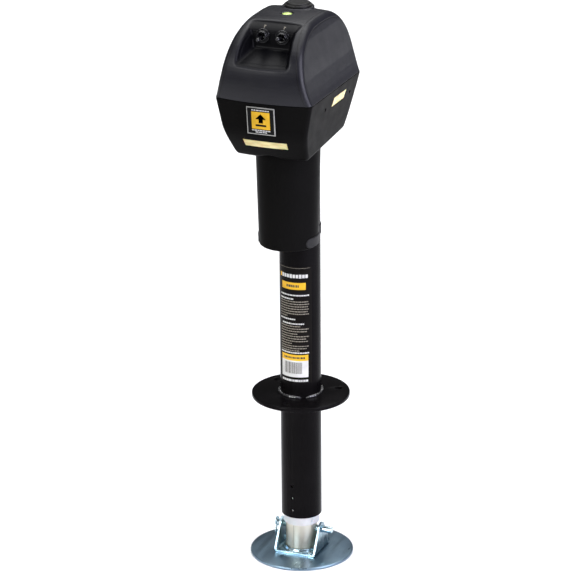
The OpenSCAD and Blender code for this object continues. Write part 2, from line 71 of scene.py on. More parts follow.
TUBE_R = size("outer_tube").x / 2
TUBE_LOW = low("outer_tube", 2)
FLANGE_R = size("mount_flange").x / 2
FLANGE_T = high("mount_flange", 2)
FOOT_R = size("foot_plate").y / 2
FOOT_LOW = low("foot_plate", 2)
FOOT_TOP = high("foot_plate", 2)
RAM_R = size("ram_tube").x / 2
SEAM = low("upper_cover", 2)
SKIRT_LOW = low("lower_housing", 2)
PIN_Z = (low("pull_pin", 2) + high("pull_pin", 2)) / 2
PIN_R = size("pull_pin").z / 2
CAP_R = size("crank_cap").x / 2
CAP_LOW = low("crank_cap", 2) + 7.2 * MM
CAP_TOP = high("crank_cap", 2)
LEVEL = (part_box("level_cup")[0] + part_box("level_cup")[1]) / 2
LEVEL_R = size("level_cup").x / 2


# ---------------------------------------------------------------- mesh helpers

def moved(x, y, z):
    return Matrix.Translation((x, y, z))


def turned(degrees, axis):
    return Matrix.Rotation(math.radians(degrees), 4, axis)


def add_object(name, data):
    piece = bpy.data.objects.new(name, data)
    bpy.context.scene.collection.objects.link(piece)
    return piece


def scratch(bm, name="cutter"):
    """Turns a bmesh into an object that has no place in the frame yet."""
    mesh = bpy.data.meshes.new(name)
    bm.normal_update()
    bm.to_mesh(mesh)
    bm.free()
    return add_object(name, mesh)


def unpack(piece):
    """Takes a scratch object's mesh back as a bmesh."""
    bm = bmesh.new()
    bm.from_mesh(piece.data)
    bpy.data.objects.remove(piece)
    return bm


def link(name, bm, material, body, replaced=(), angle=None):
    dress(scratch(bm, name), material, body, replaced, angle)


def dress(piece, material, body, replaced=(), angle=None):
    """Gives a piece its material, its shading and its place in the frame."""
    mesh = piece.data
    slots = [face.material_index for face in mesh.polygons]
    mesh.materials.clear()
    for one in material if isinstance(material, tuple) else (material,):
        mesh.materials.append(one)
    mesh.polygons.foreach_set("material_index", slots)
    mesh.shade_smooth()
    if angle:
        sharpen(mesh, angle)
    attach(piece, body)
    if replaced:
        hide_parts(*replaced)


def sharpen(mesh, angle):
    """Marks as sharp the edges whose faces turn by more than this many degrees."""
    bm = bmesh.new()
    bm.from_mesh(mesh)
    limit = math.radians(angle)
    for edge in bm.edges:
        if len(edge.link_faces) == 2:
            edge.smooth = edge.calc_face_angle(0.0) < limit
    bm.to_mesh(mesh)
    bm.free()


def arc(centre, r, start, end, steps=5):
    """Points (r, z) along an arc, in degrees."""
    return [(centre[0] + r * math.cos(math.radians(start + (end - start) * k / steps)),
             centre[1] + r * math.sin(math.radians(start + (end - start) * k / steps)))
            for k in range(steps + 1)]


def lathe(profile, segments=128, closed=True):
    """Turns a profile of (r, z) points about Z: a closed one makes a ring, an open one ends on the axis."""
    bm = bmesh.new()
    angles = [TURN * k / segments for k in range(segments)]
    rings = []
    for r, z in profile:
        if r < 1e-9:
            rings.append([bm.verts.new((0, 0, z))] * segments)
        else:
            rings.append([bm.verts.new((r * math.cos(a), r * math.sin(a), z)) for a in angles])
    following = rings[1:] + rings[:1] if closed else rings[1:]
    for a, b in zip(rings, following):
        for k in range(segments):
            n = (k + 1) % segments
            corners = []
            for v in (a[k], a[n], b[n], b[k]):
                if v not in corners:
                    corners.append(v)
            if len(corners) > 2:
                bm.faces.new(corners)
    bmesh.ops.recalc_face_normals(bm, faces=bm.faces)
    return bm


def place(bm, matrix):
    bmesh.ops.transform(bm, matrix=matrix, verts=bm.verts)
    return bm


def join(*parts):
    """Joins bmeshes into the first one."""
    first = parts[0]
    for other in parts[1:]:
        mesh = bpy.data.meshes.new("join")
        other.to_mesh(mesh)
        other.free()
        first.from_mesh(mesh)
        bpy.data.meshes.remove(mesh)
    return first


def block(low_corner, high_corner, bevel=0.0):
    bm = bmesh.new()
    bmesh.ops.create_cube(bm, size=1.0)
    lo, hi = Vector(low_corner), Vector(high_corner)
    place(bm, Matrix.Translation((lo + hi) / 2) @ Matrix.Diagonal((*(hi - lo), 1)))
    if bevel:
        bmesh.ops.bevel(bm, geom=bm.edges[:] + bm.verts[:], offset=bevel, segments=2, profile=0.5,
                        affect="EDGES", clamp_overlap=True)
    return bm


def prism(outline, depth, bevel=0.0):
    """Extrudes an (x, y) outline from z = 0 up to depth, with its rims bevelled."""
    bm = bmesh.new()
    base = [bm.verts.new((x, y, 0)) for x, y in outline]
    face = bm.faces.new(base)
    top = bmesh.ops.extrude_face_region(bm, geom=[face])["geom"]
    bmesh.ops.translate(bm, vec=(0, 0, depth), verts=[g for g in top if isinstance(g, bmesh.types.BMVert)])
    bmesh.ops.recalc_face_normals(bm, faces=bm.faces)
    if bevel:
        rims = [e for e in bm.edges if abs(e.verts[0].co.z - e.verts[1].co.z) < 1e-9]
        bmesh.ops.bevel(bm, geom=rims, offset=bevel, segments=2, profile=0.5, affect="EDGES",
                        clamp_overlap=True)
    return bm


def sweep(points, r, sides):
    """A round wire along points, with a steady frame and rounded ends."""
    pts = [Vector(p) for p in points]
    bm = bmesh.new()
    normal = None
    rings = []
    for k, p in enumerate(pts):
        along = (pts[min(k + 1, len(pts) - 1)] - pts[max(k - 1, 0)]).normalized()
        if normal is None:
            normal = along.orthogonal().normalized()
        normal = (normal - along * normal.dot(along)).normalized()
        side = along.cross(normal)
        angles = [TURN * j / sides for j in range(sides)]
        rings.append([bm.verts.new(p + r * (math.cos(a) * normal + math.sin(a) * side)) for a in angles])
    for a, b in zip(rings, rings[1:]):
        for j in range(sides):
            n = (j + 1) % sides
            bm.faces.new((a[j], a[n], b[n], b[j]))
    for ring in (rings[0], rings[-1]):
        bm.faces.new(ring)
    bmesh.ops.recalc_face_normals(bm, faces=bm.faces)
    ends = [e for e in bm.edges if any(len(f.verts) == sides for f in e.link_faces)]
    bmesh.ops.bevel(bm, geom=ends, offset=r * 0.35, segments=2, profile=0.5, affect="EDGES",
                    clamp_overlap=True)
    bmesh.ops.recalc_face_normals(bm, faces=bm.faces)
    return bm


def subtract(piece, cutter):
    """Cuts one object out of another and throws the cutter away."""
    modifier = piece.modifiers.new("cut", "BOOLEAN")
    modifier.operation = "DIFFERENCE"
    modifier.solver = "MANIFOLD"
    modifier.object = cutter
    bake(piece)
    bpy.data.objects.remove(cutter)


def carve(piece, cutter_bm):
    subtract(piece, scratch(cutter_bm))


def drill(piece, start, end, r, segments):
    carve(piece, cylinder_between(start, end, r, segments))


def bake(piece):
    """Applies a piece's modifiers."""
    depsgraph = bpy.context.evaluated_depsgraph_get()
    mesh = bpy.data.meshes.new_from_object(piece.evaluated_get(depsgraph))
    old = piece.data
    piece.modifiers.clear()
    piece.data = mesh
    bpy.data.meshes.remove(old)


def soften(piece, width, segments=2, angle=30):
    """Bevels a piece's hard edges."""
    modifier = piece.modifiers.new("bevel", "BEVEL")
    modifier.width = width
    modifier.segments = segments
    modifier.limit_method = "ANGLE"
    modifier.angle_limit = math.radians(angle)
    bake(piece)


# ---------------------------------------------------------------- isosurfaces, in millimetres

def isosurface(field, low_corner, high_corner, step):
    """Surface nets of field < 0, with every vertex drawn onto the exact field."""
    axes = [np.arange(a, b + step, step) for a, b in zip(low_corner, high_corner)]
    grid = np.empty([len(a) for a in axes], np.float32)
    y, z = np.meshgrid(axes[1], axes[2], indexing="ij")
    for start in range(0, len(axes[0]), 16):
        x = axes[0][start:start + 16, None, None]
        grid[start:start + 16] = field(x, y[None], z[None])
    inside = grid < 0
    cell = inside[:-1, :-1, :-1]
    any_in, all_in = cell.copy(), cell.copy()
    total = np.zeros(cell.shape + (3,), np.float32)
    count = np.zeros(cell.shape, np.float32)
    corners = [(i, j, k) for i in (0, 1) for j in (0, 1) for k in (0, 1)]

    def at(array, c):
        return array[tuple(slice(c[n], array.shape[n] - 1 + c[n]) for n in range(3))]

    for c in corners[1:]:
        any_in |= at(inside, c)
        all_in &= at(inside, c)
    active = any_in & ~all_in
    index = np.argwhere(active)
    for a in corners:
        for n in range(3):
            if a[n]:
                continue
            b = tuple(v + (m == n) for m, v in enumerate(a))
            fa, fb = at(grid, a)[active], at(grid, b)[active]
            cross = (fa < 0) != (fb < 0)
            t = np.where(cross, fa / np.where(cross, fa - fb, 1), 0)
            point = np.array(a, np.float32) + t[:, None] * np.eye(3, dtype=np.float32)[n]
            total[active] += np.where(cross[:, None], point, 0)
            count[active] += cross
    points = (index + total[active] / count[active][:, None]) * step + np.array(low_corner)
    number = np.full(cell.shape, -1, np.int64)
    number[active] = np.arange(len(index))
    quads = []
    for n in range(3):
        u, v = (n + 1) % 3, (n + 2) % 3
        first = [slice(1, -1)] * 3
        first[n] = slice(0, -1)
        second = list(first)
        second[n] = slice(1, None)
        a, b = inside[tuple(first)], inside[tuple(second)]
        for flip, mask in ((False, a & ~b), (True, b & ~a)):
            base = np.argwhere(mask)
            base[:, u] += 1
            base[:, v] += 1
            ring = []
            for du, dv in ((0, 0), (-1, 0), (-1, -1), (0, -1)):
                c = base.copy()
                c[:, u] += du
                c[:, v] += dv
                ring.append(number[c[:, 0], c[:, 1], c[:, 2]])
            ring = np.stack(ring, 1)
            quads.append(ring[:, ::-1] if flip else ring)
    quads = np.concatenate(quads)

    def value(p):
        return field(p[:, 0], p[:, 1], p[:, 2])

    reach = 0.05
    for _ in range(3):
        f = value(points)
        slope = np.stack([(value(points + reach * e) - value(points - reach * e)) / (2 * reach)
                          for e in np.eye(3)], 1)
        length = np.maximum((slope ** 2).sum(1), 0.25)
        points = points - slope * np.clip(f / length, -0.6 * step, 0.6 * step)[:, None]
    mesh = bpy.data.meshes.new("iso")
    mesh.from_pydata((points * MM).tolist(), [], quads.tolist())
    mesh.validate()
    return mesh


def rounded_cut(a, b, r):
    """Intersection of two fields with a round of radius r on the edge between them."""
    return np.minimum(-r, np.maximum(a, b)) + np.hypot(np.maximum(r + a, 0), np.maximum(r + b, 0))


def filleted(a, b, r):
    """Union of two fields with a fillet of radius r."""
    return np.maximum(r, np.minimum(a, b)) - np.hypot(np.maximum(r - a, 0), np.maximum(r - b, 0))


def outline_distance(points, u, v):
    """Signed distance from (u, v) to a closed outline, negative inside."""
    points = np.array(points, float)
    best = np.full(np.broadcast(u, v).shape, 1e9)
    within = np.zeros(best.shape, bool)
    for (x0, y0), (x1, y1) in zip(points, np.roll(points, -1, 0)):
        dx, dy = x1 - x0, y1 - y0
        if dx * dx + dy * dy < 1e-12:
            continue
        t = np.clip(((u - x0) * dx + (v - y0) * dy) / (dx * dx + dy * dy), 0, 1)
        best = np.minimum(best, (u - x0 - t * dx) ** 2 + (v - y0 - t * dy) ** 2)
        if dy:
            crosses = ((y0 > v) != (y1 > v)) & (u < dx * (v - y0) / dy + x0)
            within ^= crosses
    return np.where(within, -1, 1) * np.sqrt(best)


def curve(p, n=14):
    t = np.linspace(0, 1, n + 1)[:, None]
    p = np.array(p, float)
    return (1 - t) ** 3 * p[0] + 3 * (1 - t) ** 2 * t * p[1] + 3 * (1 - t) * t ** 2 * p[2] + t ** 3 * p[3]


def ease(t):
    t = np.clip(t, 0, 1)
    return t * t * (3 - 2 * t)


# ---------------------------------------------------------------- the head, in millimetres

SEAM_MM = SEAM / MM
TOP_MM = 563.0
PANEL_ROUND = 7.0      # round between the side panels and the rest of the head
SHELL = 3.0
SEAM_GAP = 0.45        # half the gap left at the seam
RECESS_TILT = math.tan(math.radians(8))
RECESS_SLOPE = math.tan(math.radians(20))
RECESS_BACK = (-93.0, 527.0)
SKIRT_Y, SKIRT_R, SKIRT_Z, SKIRT_TAPER = -40.0, 40.7, SKIRT_LOW / MM, 0.02477
# half width against height: the ridge of the side panels
WIDTHS = [(370, 50.2), (464, 69.0), (472, 66.3), (480, 64.0), (496, 60.0), (512, 57.0),
          (528, 53.8), (544, 50.6), (552, 48.4), (560, 46.0), (575, 42.0)]


def profile_outline():
    """Side view of the head (y, z), from the seam's front over the top and back under the housing."""
    parts = [
        curve([(-136, 464), (-145.5, 505), (-130, 556.5), (-62, TOP_MM - 0.5)], 22),
        curve([(-62, TOP_MM - 0.5), (-30, TOP_MM + 0.8), (0, TOP_MM), (12, TOP_MM - 4.5)], 8)[1:],
        curve([(12, TOP_MM - 4.5), (45, 546), (59, 516), (56, 464)], 18)[1:],
        curve([(56, 464), (54, 450), (42, 408), (33, 392)], 8)[1:],
        curve([(33, 392), (31, 388), (28, 387.6), (24, 387.3)], 3)[1:],
        curve([(24, 387.3), (-40, 382.6), (-80, 379.7), (-98, 378.4)], 3)[1:],
        curve([(-98, 378.4), (-103, 378.4), (-106, 383), (-109, 387)], 5)[1:],
        curve([(-109, 387), (-119, 401), (-129, 413), (-131.5, 426)], 10)[1:],
    ]
    return np.concatenate(parts)


PROFILE = profile_outline()
PROFILE_STEP = 0.5
PROFILE_LOW = (-160.0, 225.0)
_py, _pz = np.meshgrid(np.arange(-160, 90, PROFILE_STEP), np.arange(225, 585, PROFILE_STEP), indexing="ij")
PROFILE_GRID = outline_distance(PROFILE, _py, _pz).astype(np.float32)


def profile_distance(y, z):
    """The outline's distance, read from a fine table."""
    u = np.clip((y - PROFILE_LOW[0]) / PROFILE_STEP, 0, PROFILE_GRID.shape[0] - 1.001)
    v = np.clip((z - PROFILE_LOW[1]) / PROFILE_STEP, 0, PROFILE_GRID.shape[1] - 1.001)
    i, j = u.astype(int), v.astype(int)
    s, t = u - i, v - j
    g = PROFILE_GRID
    return (g[i, j] * (1 - s) * (1 - t) + g[i + 1, j] * s * (1 - t) + g[i, j + 1] * (1 - s) * t
            + g[i + 1, j + 1] * s * t)


def half_width(z):
    return np.interp(z, [p[0] for p in WIDTHS], [p[1] for p in WIDTHS])


def column_distance(x, y, z):
    return np.hypot(x, y - SKIRT_Y) - (SKIRT_R + (z - SKIRT_Z) * SKIRT_TAPER)


def bowed_profile(x, y, z):
    """The outline's distance, with the front and the crown bowed across the width."""
    front = np.clip((-30 - y) / 60, 0, 1)
    crown = np.clip((z - 500) / 50, 0, 1)
    return profile_distance(y - 0.0018 * x * x * front, z + 0.0011 * x * x * crown)


def head_outer(x, y, z):
    """The head and the motor column as one solid, without its openings."""
    side = (np.abs(x) - half_width(z)) * 0.975
    edge_round = np.interp(z, [SEAM_MM - 3, SEAM_MM + 3], [PANEL_ROUND - 2.5, PANEL_ROUND])
    head = rounded_cut(bowed_profile(x, y, z), side, edge_round)
    # the housing's lower front edge arches over the column
    arch = 373 + 10.5 * ease(1 - np.abs(x) / 36) - 20 * ease((y + 96) / 14)
    head = rounded_cut(head, arch - z, 2.0)
    column = rounded_cut(column_distance(x, y, z), SKIRT_Z - z, 3.5)
    column = rounded_cut(column, z - 425, 3.5)
    return filleted(head, column, 2.5)


def lip_back(z):
    """How far the recess's back wall curves back towards its top edge."""
    return np.minimum(0.2 * np.maximum(0, z - 549.5) ** 2, 14)


def recess_field(x, y, z):
    back = y - RECESS_BACK[0] - (z - RECESS_BACK[1]) * RECESS_TILT - lip_back(z)
    back = back / math.hypot(1, RECESS_TILT)
    floor = (RECESS_BACK[1] + (y - RECESS_BACK[0]) * RECESS_SLOPE - z) / math.hypot(1, RECESS_SLOPE)
    width = (25.8 + 0.2 * (z - RECESS_BACK[1]) + 0.36 * np.maximum(0, RECESS_BACK[0] - y)
             + 0.22 * np.maximum(0, z - 543))
    side = (np.abs(x) - width) * 0.92
    return rounded_cut(rounded_cut(back, floor, 2.5), side, 3.5)


def head_shell(x, y, z):
    outer = head_outer(x, y, z)
    recess = recess_field(x, y, z)
    body = rounded_cut(outer, -recess, 2.6)
    boss = rounded_cut(np.hypot(x, y) - 22, z - 563.2, 1.0)
    boss = np.maximum(boss, 552 - z)
    body = filleted(body, boss, 1.5)
    inner = rounded_cut(outer + SHELL, SHELL - recess, 6.0)
    return np.maximum(body, -inner)


def iso_piece(name, field, low_corner, high_corner, step):
    return add_object(name, isosurface(field, low_corner, high_corner, step))


def cylinder_between(a, b, r, segments=64):
    """A closed cylinder from a to b, for cutting."""
    a, b = Vector(a), Vector(b)
    bm = lathe([(0, 0), (r, 0), (r, (b - a).length), (0, (b - a).length)], segments, closed=False)
    return place(bm, Matrix.Translation(a) @ (b - a).to_track_quat("Z", "Y").to_matrix().to_4x4())


# ---------------------------------------------------------------- materials

class Nodes:
    """A principled shader with helpers to drive its sockets from noise in the part's own coordinates."""

    def __init__(self, name, colour, rough=0.5, metal=0.0, **values):
        self.material = bpy.data.materials.new(name)
        self.material.use_nodes = True
        self.tree = self.material.node_tree
        self.shader = self.tree.nodes["Principled BSDF"]
        self.shader.inputs["Base Color"].default_value = (*colour, 1)
        self.shader.inputs["Roughness"].default_value = rough
        self.shader.inputs["Metallic"].default_value = metal
        for key, value in values.items():
            self.shader.inputs[key.replace("_", " ")].default_value = value
        self.colour, self.rough = colour, rough
        self.place = self.tree.nodes.new("ShaderNodeTexCoord").outputs["Object"]
        self.bumps = None

    def node(self, kind, inputs=None, **settings):
        n = self.tree.nodes.new(kind)
        for key, value in settings.items():
            setattr(n, key, value)
        for key, value in (inputs or {}).items():
            if isinstance(value, bpy.types.NodeSocket):
                self.tree.links.new(value, n.inputs[key])
            else:
                n.inputs[key].default_value = value
        return n

    def noise(self, scale, detail=3.0, stretch=None, rough=0.5):
        place = self.place
        if stretch:
            place = self.node("ShaderNodeMapping", {"Vector": place, "Scale": stretch}).outputs["Vector"]
        return self.node("ShaderNodeTexNoise", {"Vector": place, "Scale": scale, "Detail": detail,
                                                "Roughness": rough}).outputs["Fac"]

    def span(self, value, low, high, start=0.3, end=0.7, smooth=False):
        n = self.node("ShaderNodeMapRange", {"Value": value, "From Min": start, "From Max": end,
                                             "To Min": low, "To Max": high})
        if smooth:
            n.interpolation_type = "SMOOTHSTEP"
        return n.outputs["Result"]

    def maths(self, operation, a, b=0.0):
        return self.node("ShaderNodeMath", {0: a, 1: b}, operation=operation).outputs[0]

    def blend(self, factor, a, b):
        n = self.node("ShaderNodeMix", {"Factor": factor}, data_type="RGBA")
        for socket, value in ((n.inputs[6], a), (n.inputs[7], b)):
            if isinstance(value, bpy.types.NodeSocket):
                self.tree.links.new(value, socket)
            else:
                socket.default_value = (*value, 1)
        return n.outputs[2]

    def to(self, socket, value):
        self.tree.links.new(value, self.shader.inputs[socket])
        return self

    def tint(self, other, scale, start=0.4, end=0.65, detail=4.0, stretch=None):
        self.to("Base Color", self.blend(self.span(self.noise(scale, detail, stretch), 0, 1, start, end),
                                         self.colour, other))
        return self

    def wear(self, spread, scale, stretch=None, detail=4.0):
        noise = self.noise(scale, detail, stretch)
        self.to("Roughness", self.span(noise, self.rough - spread, self.rough + spread))
        return self

    def bump(self, height, depth, strength=1.0):
        """Adds a bump whose height socket is worth depth metres."""
        inputs = {"Height": height, "Distance": depth, "Strength": strength}
        if self.bumps is not None:
            inputs["Normal"] = self.bumps
        self.bumps = self.node("ShaderNodeBump", inputs).outputs["Normal"]
        self.to("Normal", self.bumps)
        return self

    def edges(self, radius):
        """Softens the light on hard edges."""
        self.bumps = self.node("ShaderNodeBevel", {"Radius": radius}, samples=4).outputs["Normal"]
        self.to("Normal", self.bumps)
        return self


def black_shell(name, colour, rough, level, lines=False):
    m = Nodes(name, colour, rough, Specular_IOR_Level=level)
    m.edges(0.5 * MM)
    m.wear(0.05, 55)
    m.bump(m.noise(2600, 2.0), 0.03 * MM, 0.55)
    m.bump(m.noise(22, 3.0), 0.18 * MM, 0.35)
    dark = tuple(c * 0.82 for c in colour)
    mottle_and_painted_shade = m.blend(m.span(m.noise(9, 4.0), 0, 1, 0.42, 0.62), colour, dark)
    if lines:
        # the thin creases on both sides of the round that borders each side panel: painted shade darkens the
        # colour along them, and a bump cuts them in as grooves
        edge = [m.maths("ABSOLUTE", m.node("ShaderNodeAttribute", attribute_name=n).outputs["Fac"])
                for n in ("panel_line", "front_line")]
        near = m.maths("MINIMUM", edge[0], edge[1])
        line = m.span(near, 1.0, 0.0, 0.25, 0.95, smooth=True)
        mottle_and_painted_shade = m.blend(line, mottle_and_painted_shade, tuple(c * 0.25 for c in colour))
        m.bump(m.maths("MULTIPLY", line, -1.0), 0.35 * MM, 0.6)
        # the recess is moulded matt, with a lower specular level, and painted shade darkens its colour
        hollow = m.node("ShaderNodeAttribute", attribute_name="hollow").outputs["Fac"]
        m.to("Specular IOR Level", m.span(hollow, level, 0.08, 0, 1))
        mottle_and_painted_shade = m.blend(hollow, mottle_and_painted_shade, tuple(c * 0.3 for c in colour))
    m.to("Base Color", mottle_and_painted_shade)
    return m.material


def gloss_black(name, colour=(0.003, 0.0027, 0.0029), rough=0.2, level=0.035):
    m = Nodes(name, colour, rough, Specular_IOR_Level=level)
    m.edges(0.5 * MM)
    m.wear(0.05, 30)
    m.tint(tuple(c * 1.5 for c in colour), 14)
    m.bump(m.noise(420, 2.0), 0.02 * MM, 0.35)
    m.bump(m.noise(26, 2.0), 0.12 * MM, 0.25)
    return m.material


def zinc(name, colour, other, rough=0.3, grain=(1, 1, 1), metal=1.0):
    m = Nodes(name, colour, rough, metal)
    m.edges(0.5 * MM)
    m.tint(other, 24, 0.38, 0.66)
    m.wear(0.09, 60, grain)
    m.bump(m.noise(320, 3.0, grain), 0.03 * MM, 0.5)
    m.bump(m.noise(1500, 2.0), 0.012 * MM, 0.4)
    return m.material


def plain(name, colour, rough=0.5, metal=0.0, other=None, grain=700, depth=0.02, **values):
    m = Nodes(name, colour, rough, metal, **values)
    m.edges(0.3 * MM)
    m.tint(other or tuple(c * 0.8 for c in colour), 40)
    m.wear(min(0.08, rough * 0.5), 70)
    m.bump(m.noise(grain, 3.0), depth * MM, 0.5)
    return m.material


def ram_finish():
    m = Nodes("ram_zinc", (0.60, 0.58, 0.49), 0.40, 0.8)
    m.edges(0.4 * MM)
    m.wear(0.08, 50, (1, 1, 0.12))
    m.bump(m.noise(260, 3.0, (1, 1, 0.05)), 0.03 * MM, 0.5)
    patches = m.span(m.noise(18, 4.0, (1, 1, 0.4)), 0, 1, 0.4, 0.65)
    tinted = m.blend(patches, m.colour, (0.50, 0.49, 0.41))
    # the tube's rolled seam
    axes = m.node("ShaderNodeSeparateXYZ", {0: m.place})
    turn = m.maths("ARCTAN2", axes.outputs["Y"], axes.outputs["X"])
    off = m.maths("ABSOLUTE", m.maths("SUBTRACT", turn, math.radians(-99)))
    seam = m.span(off, 1.0, 0.0, 0.006, 0.02, smooth=True)
    m.to("Base Color", m.blend(seam, tinted, (0.16, 0.15, 0.12)))
    m.bump(m.maths("MULTIPLY", seam, -1.0), 0.2 * MM, 0.7)
    return m.material


def lens_finish():
    m = Nodes("lens", (0.80, 0.70, 0.36), 0.36, 0.0, Subsurface_Weight=0.35, Subsurface_Scale=0.004,
              Specular_IOR_Level=0.2)
    m.edges(0.5 * MM)
    bands = m.node("ShaderNodeTexWave", {"Vector": m.place, "Scale": 90, "Distortion": 0.3},
                   bands_direction="Z")
    m.to("Base Color", m.blend(m.span(m.noise(60, 3.0, (1, 1, 3)), 0, 1, 0.35, 0.7), (0.84, 0.74, 0.38),
                               (0.58, 0.48, 0.20)))
    m.bump(bands.outputs["Fac"], 0.15 * MM, 0.4)
    m.wear(0.06, 80)
    return m.material


def vial_finish():
    m = Nodes("level_green", (0.55, 0.78, 0.16), 0.12, 0.0, Specular_IOR_Level=0.5, Coat_Weight=0.5)
    m.tint((0.70, 0.86, 0.30), 120, 0.35, 0.65)
    m.bump(m.noise(160, 2.0), 0.05 * MM, 0.3)
    m.wear(0.04, 90)
    return m.material


def weld_finish():
    m = Nodes("weld", (0.008, 0.008, 0.009), 0.12, 0.0, Specular_IOR_Level=0.8, Coat_Weight=1.0)
    m.tint((0.012, 0.011, 0.012), 200)
    m.wear(0.06, 180)
    m.bump(m.noise(420, 4.0), 0.35 * MM, 0.7)
    return m.material


M_COVER = black_shell("cover_black", (0.009, 0.009, 0.0125), 0.36, 0.27, lines=True)
M_HOUSING = black_shell("housing_black", (0.0054, 0.0052, 0.0050), 0.36, 0.012)
M_PAINT = gloss_black("black_paint")
M_WELD = weld_finish()
M_NYLON = plain("nylon", (0.50, 0.51, 0.52), 0.45, other=(0.42, 0.43, 0.44), Subsurface_Weight=0.2,
                Subsurface_Scale=0.003)
M_STRAP = plain("strap_grey", (0.022, 0.022, 0.022), 0.5, Specular_IOR_Level=0.08)
M_FOOT = zinc("foot_zinc", (0.20, 0.29, 0.36), (0.15, 0.22, 0.29), 0.33, (1, 0.15, 1))
M_BRACKET = zinc("bracket_zinc", (0.40, 0.54, 0.60), (0.27, 0.38, 0.44), 0.25, (1, 1, 0.3))
M_PIN = zinc("pin_zinc", (0.58, 0.72, 0.77), (0.44, 0.58, 0.64), 0.2)
M_RAM = ram_finish()
M_STEEL = zinc("steel", (0.42, 0.42, 0.43), (0.32, 0.32, 0.33), 0.32)
M_DARK_STEEL = zinc("dark_steel", (0.05, 0.05, 0.052), (0.03, 0.03, 0.032), 0.4)
M_BRONZE = zinc("bronze", (0.55, 0.38, 0.17), (0.42, 0.28, 0.12), 0.34)
M_LENS = lens_finish()
M_VIAL = vial_finish()
M_BOARD = plain("board", (0.03, 0.16, 0.08), 0.5)
M_RUBBER = plain("rubber", (0.011, 0.011, 0.012), 0.5, grain=1200)
M_CAP = plain("cap_black", (0.010, 0.0095, 0.009), 0.45, grain=1300, Specular_IOR_Level=0.22)
M_FELT = plain("felt", (0.12, 0.08, 0.05), 0.9, grain=2500, depth=0.2)
M_MAGNET = plain("magnet", (0.05, 0.05, 0.055), 0.6)
M_CORE = plain("copper_core", (0.30, 0.12, 0.05), 0.4, 0.7)
M_SWITCH = gloss_black("switch_black", (0.005, 0.005, 0.006), 0.14, 0.6)
M_LABEL = plain("label_black", (0.005, 0.0042, 0.0036), 0.35, Specular_IOR_Level=0.05)
M_WHITE = plain("ink_white", (0.62, 0.62, 0.60), 0.45)
M_PALE = plain("ink_pale", (0.24, 0.22, 0.18), 0.5, Specular_IOR_Level=0.1)
M_YELLOW = plain("ink_yellow", (0.74, 0.43, 0.02), 0.45, Specular_IOR_Level=0.2)
M_INK = plain("ink_dark", (0.03, 0.022, 0.012), 0.45)
M_SILVER = plain("badge_silver", (0.36, 0.36, 0.34), 0.35, 0.6)
M_FIELD = plain("badge_black", (0.004, 0.004, 0.004), 0.4, Specular_IOR_Level=0.08)


# ---------------------------------------------------------------- the head

def crease_lines(piece):
    """Stores, for each vertex, how far it is from both edges of the side panels' round, and how far it is
    inside the recess ("hollow", 0 to 1)."""
    mesh = piece.data
    co = np.empty(len(mesh.vertices) * 3, np.float32)
    mesh.vertices.foreach_get("co", co)
    x, y, z = (co.reshape(-1, 3) / MM).T
    # panel_line and front_line place the painted crease shade, and hollow places the painted recess shade and
    # the matt recess, in black_shell
    fade = np.where((z < 405) | (y > 30), 40.0, 0.0)
    values = {
        "panel_line": bowed_profile(x, y, z) + PANEL_ROUND + fade,
        "front_line": np.abs(x) - half_width(z) + PANEL_ROUND + 0.6 + fade,
        "hollow": ease(1.2 - recess_field(x, y, z)),
    }
    for name, value in values.items():
        layer = mesh.attributes.new(name, "FLOAT", "POINT")
        layer.data.foreach_set("value", value.astype(np.float32))


GRAIN = 1.5     # step of the head's grid, in millimetres
PANEL = Matrix.Translation((0, (RECESS_BACK[0] + 17 * RECESS_TILT) * MM, 0.544)) @ Matrix.Rotation(
    math.radians(82), 4, "X")
SWITCH_X = 0.014


def on_panel(side, matrix=Matrix.Identity(4)):
    return moved(side * SWITCH_X, 0, 0) @ PANEL @ matrix


# each half's field is closed a little past the seam, inside its grid, and cut back to the seam by a block
def cover_field(x, y, z):
    return np.maximum(head_shell(x, y, z), SEAM_MM - 6 - z)


def housing_field(x, y, z):
    return np.maximum(head_shell(x, y, z), z - SEAM_MM - 6)


cover = iso_piece("cover_moulding", cover_field, (-74, -146, 455), (74, 66, 570), GRAIN)
carve(cover, block((-0.1, -0.2, 0.44), (0.1, 0.1, (SEAM_MM + SEAM_GAP) * MM)))
drill(cover, (0, 0, 0.54), (0, 0, 0.6), 0.0141, 96)
drill(cover, (LEVEL.x, LEVEL.y, low("level_cup", 2) - 0.0002), (LEVEL.x, LEVEL.y, 0.6), LEVEL_R + 0.0003, 64)
for side in (-1, 1):
    at = on_panel(side)
    drill(cover, at @ Vector((0, 0, -0.01)), at @ Vector((0, 0, 0.01)), 0.0062, 48)
crease_lines(cover)
dress(cover, M_COVER, "jack", ["upper_cover"], angle=38)

housing = iso_piece("housing_moulding", housing_field, (-74, -146, 232), (74, 66, 472), GRAIN)
carve(housing, block((-0.1, -0.2, (SEAM_MM - SEAM_GAP) * MM), (0.1, 0.1, 0.49)))
drill(housing, (0, 0, 0.2), (0, 0, 0.44), TUBE_R + 0.0004, 160)
SCREW_Y, SCREW_Z = (-0.066, 0.0232), 0.4426
SIDE_LENS = [(-41.9, 439.2), (2.9, 439.2), (8.6, 451.2), (-36.7, 451.2)]
FRONT_LENS = [(-31.5, 408.5), (-30.7, 397.5), (30.7, 397.5), (31.5, 408.5)]
STRAP_Z = (low("rear_strap", 2) + high("rear_strap", 2)) / 2 / MM
STRAP_HALF = size("rear_strap").z / 2 / MM
STRAP_END = -55.0


def grown(outline, by):
    c = np.mean(np.array(outline), 0)
    return [(p[0] + by * np.sign(p[0] - c[0]), p[1] + by * np.sign(p[1] - c[1])) for p in outline]


def strap_zone(y, z):
    return np.hypot(np.maximum(STRAP_END - y, 0), z - STRAP_Z) - STRAP_HALF


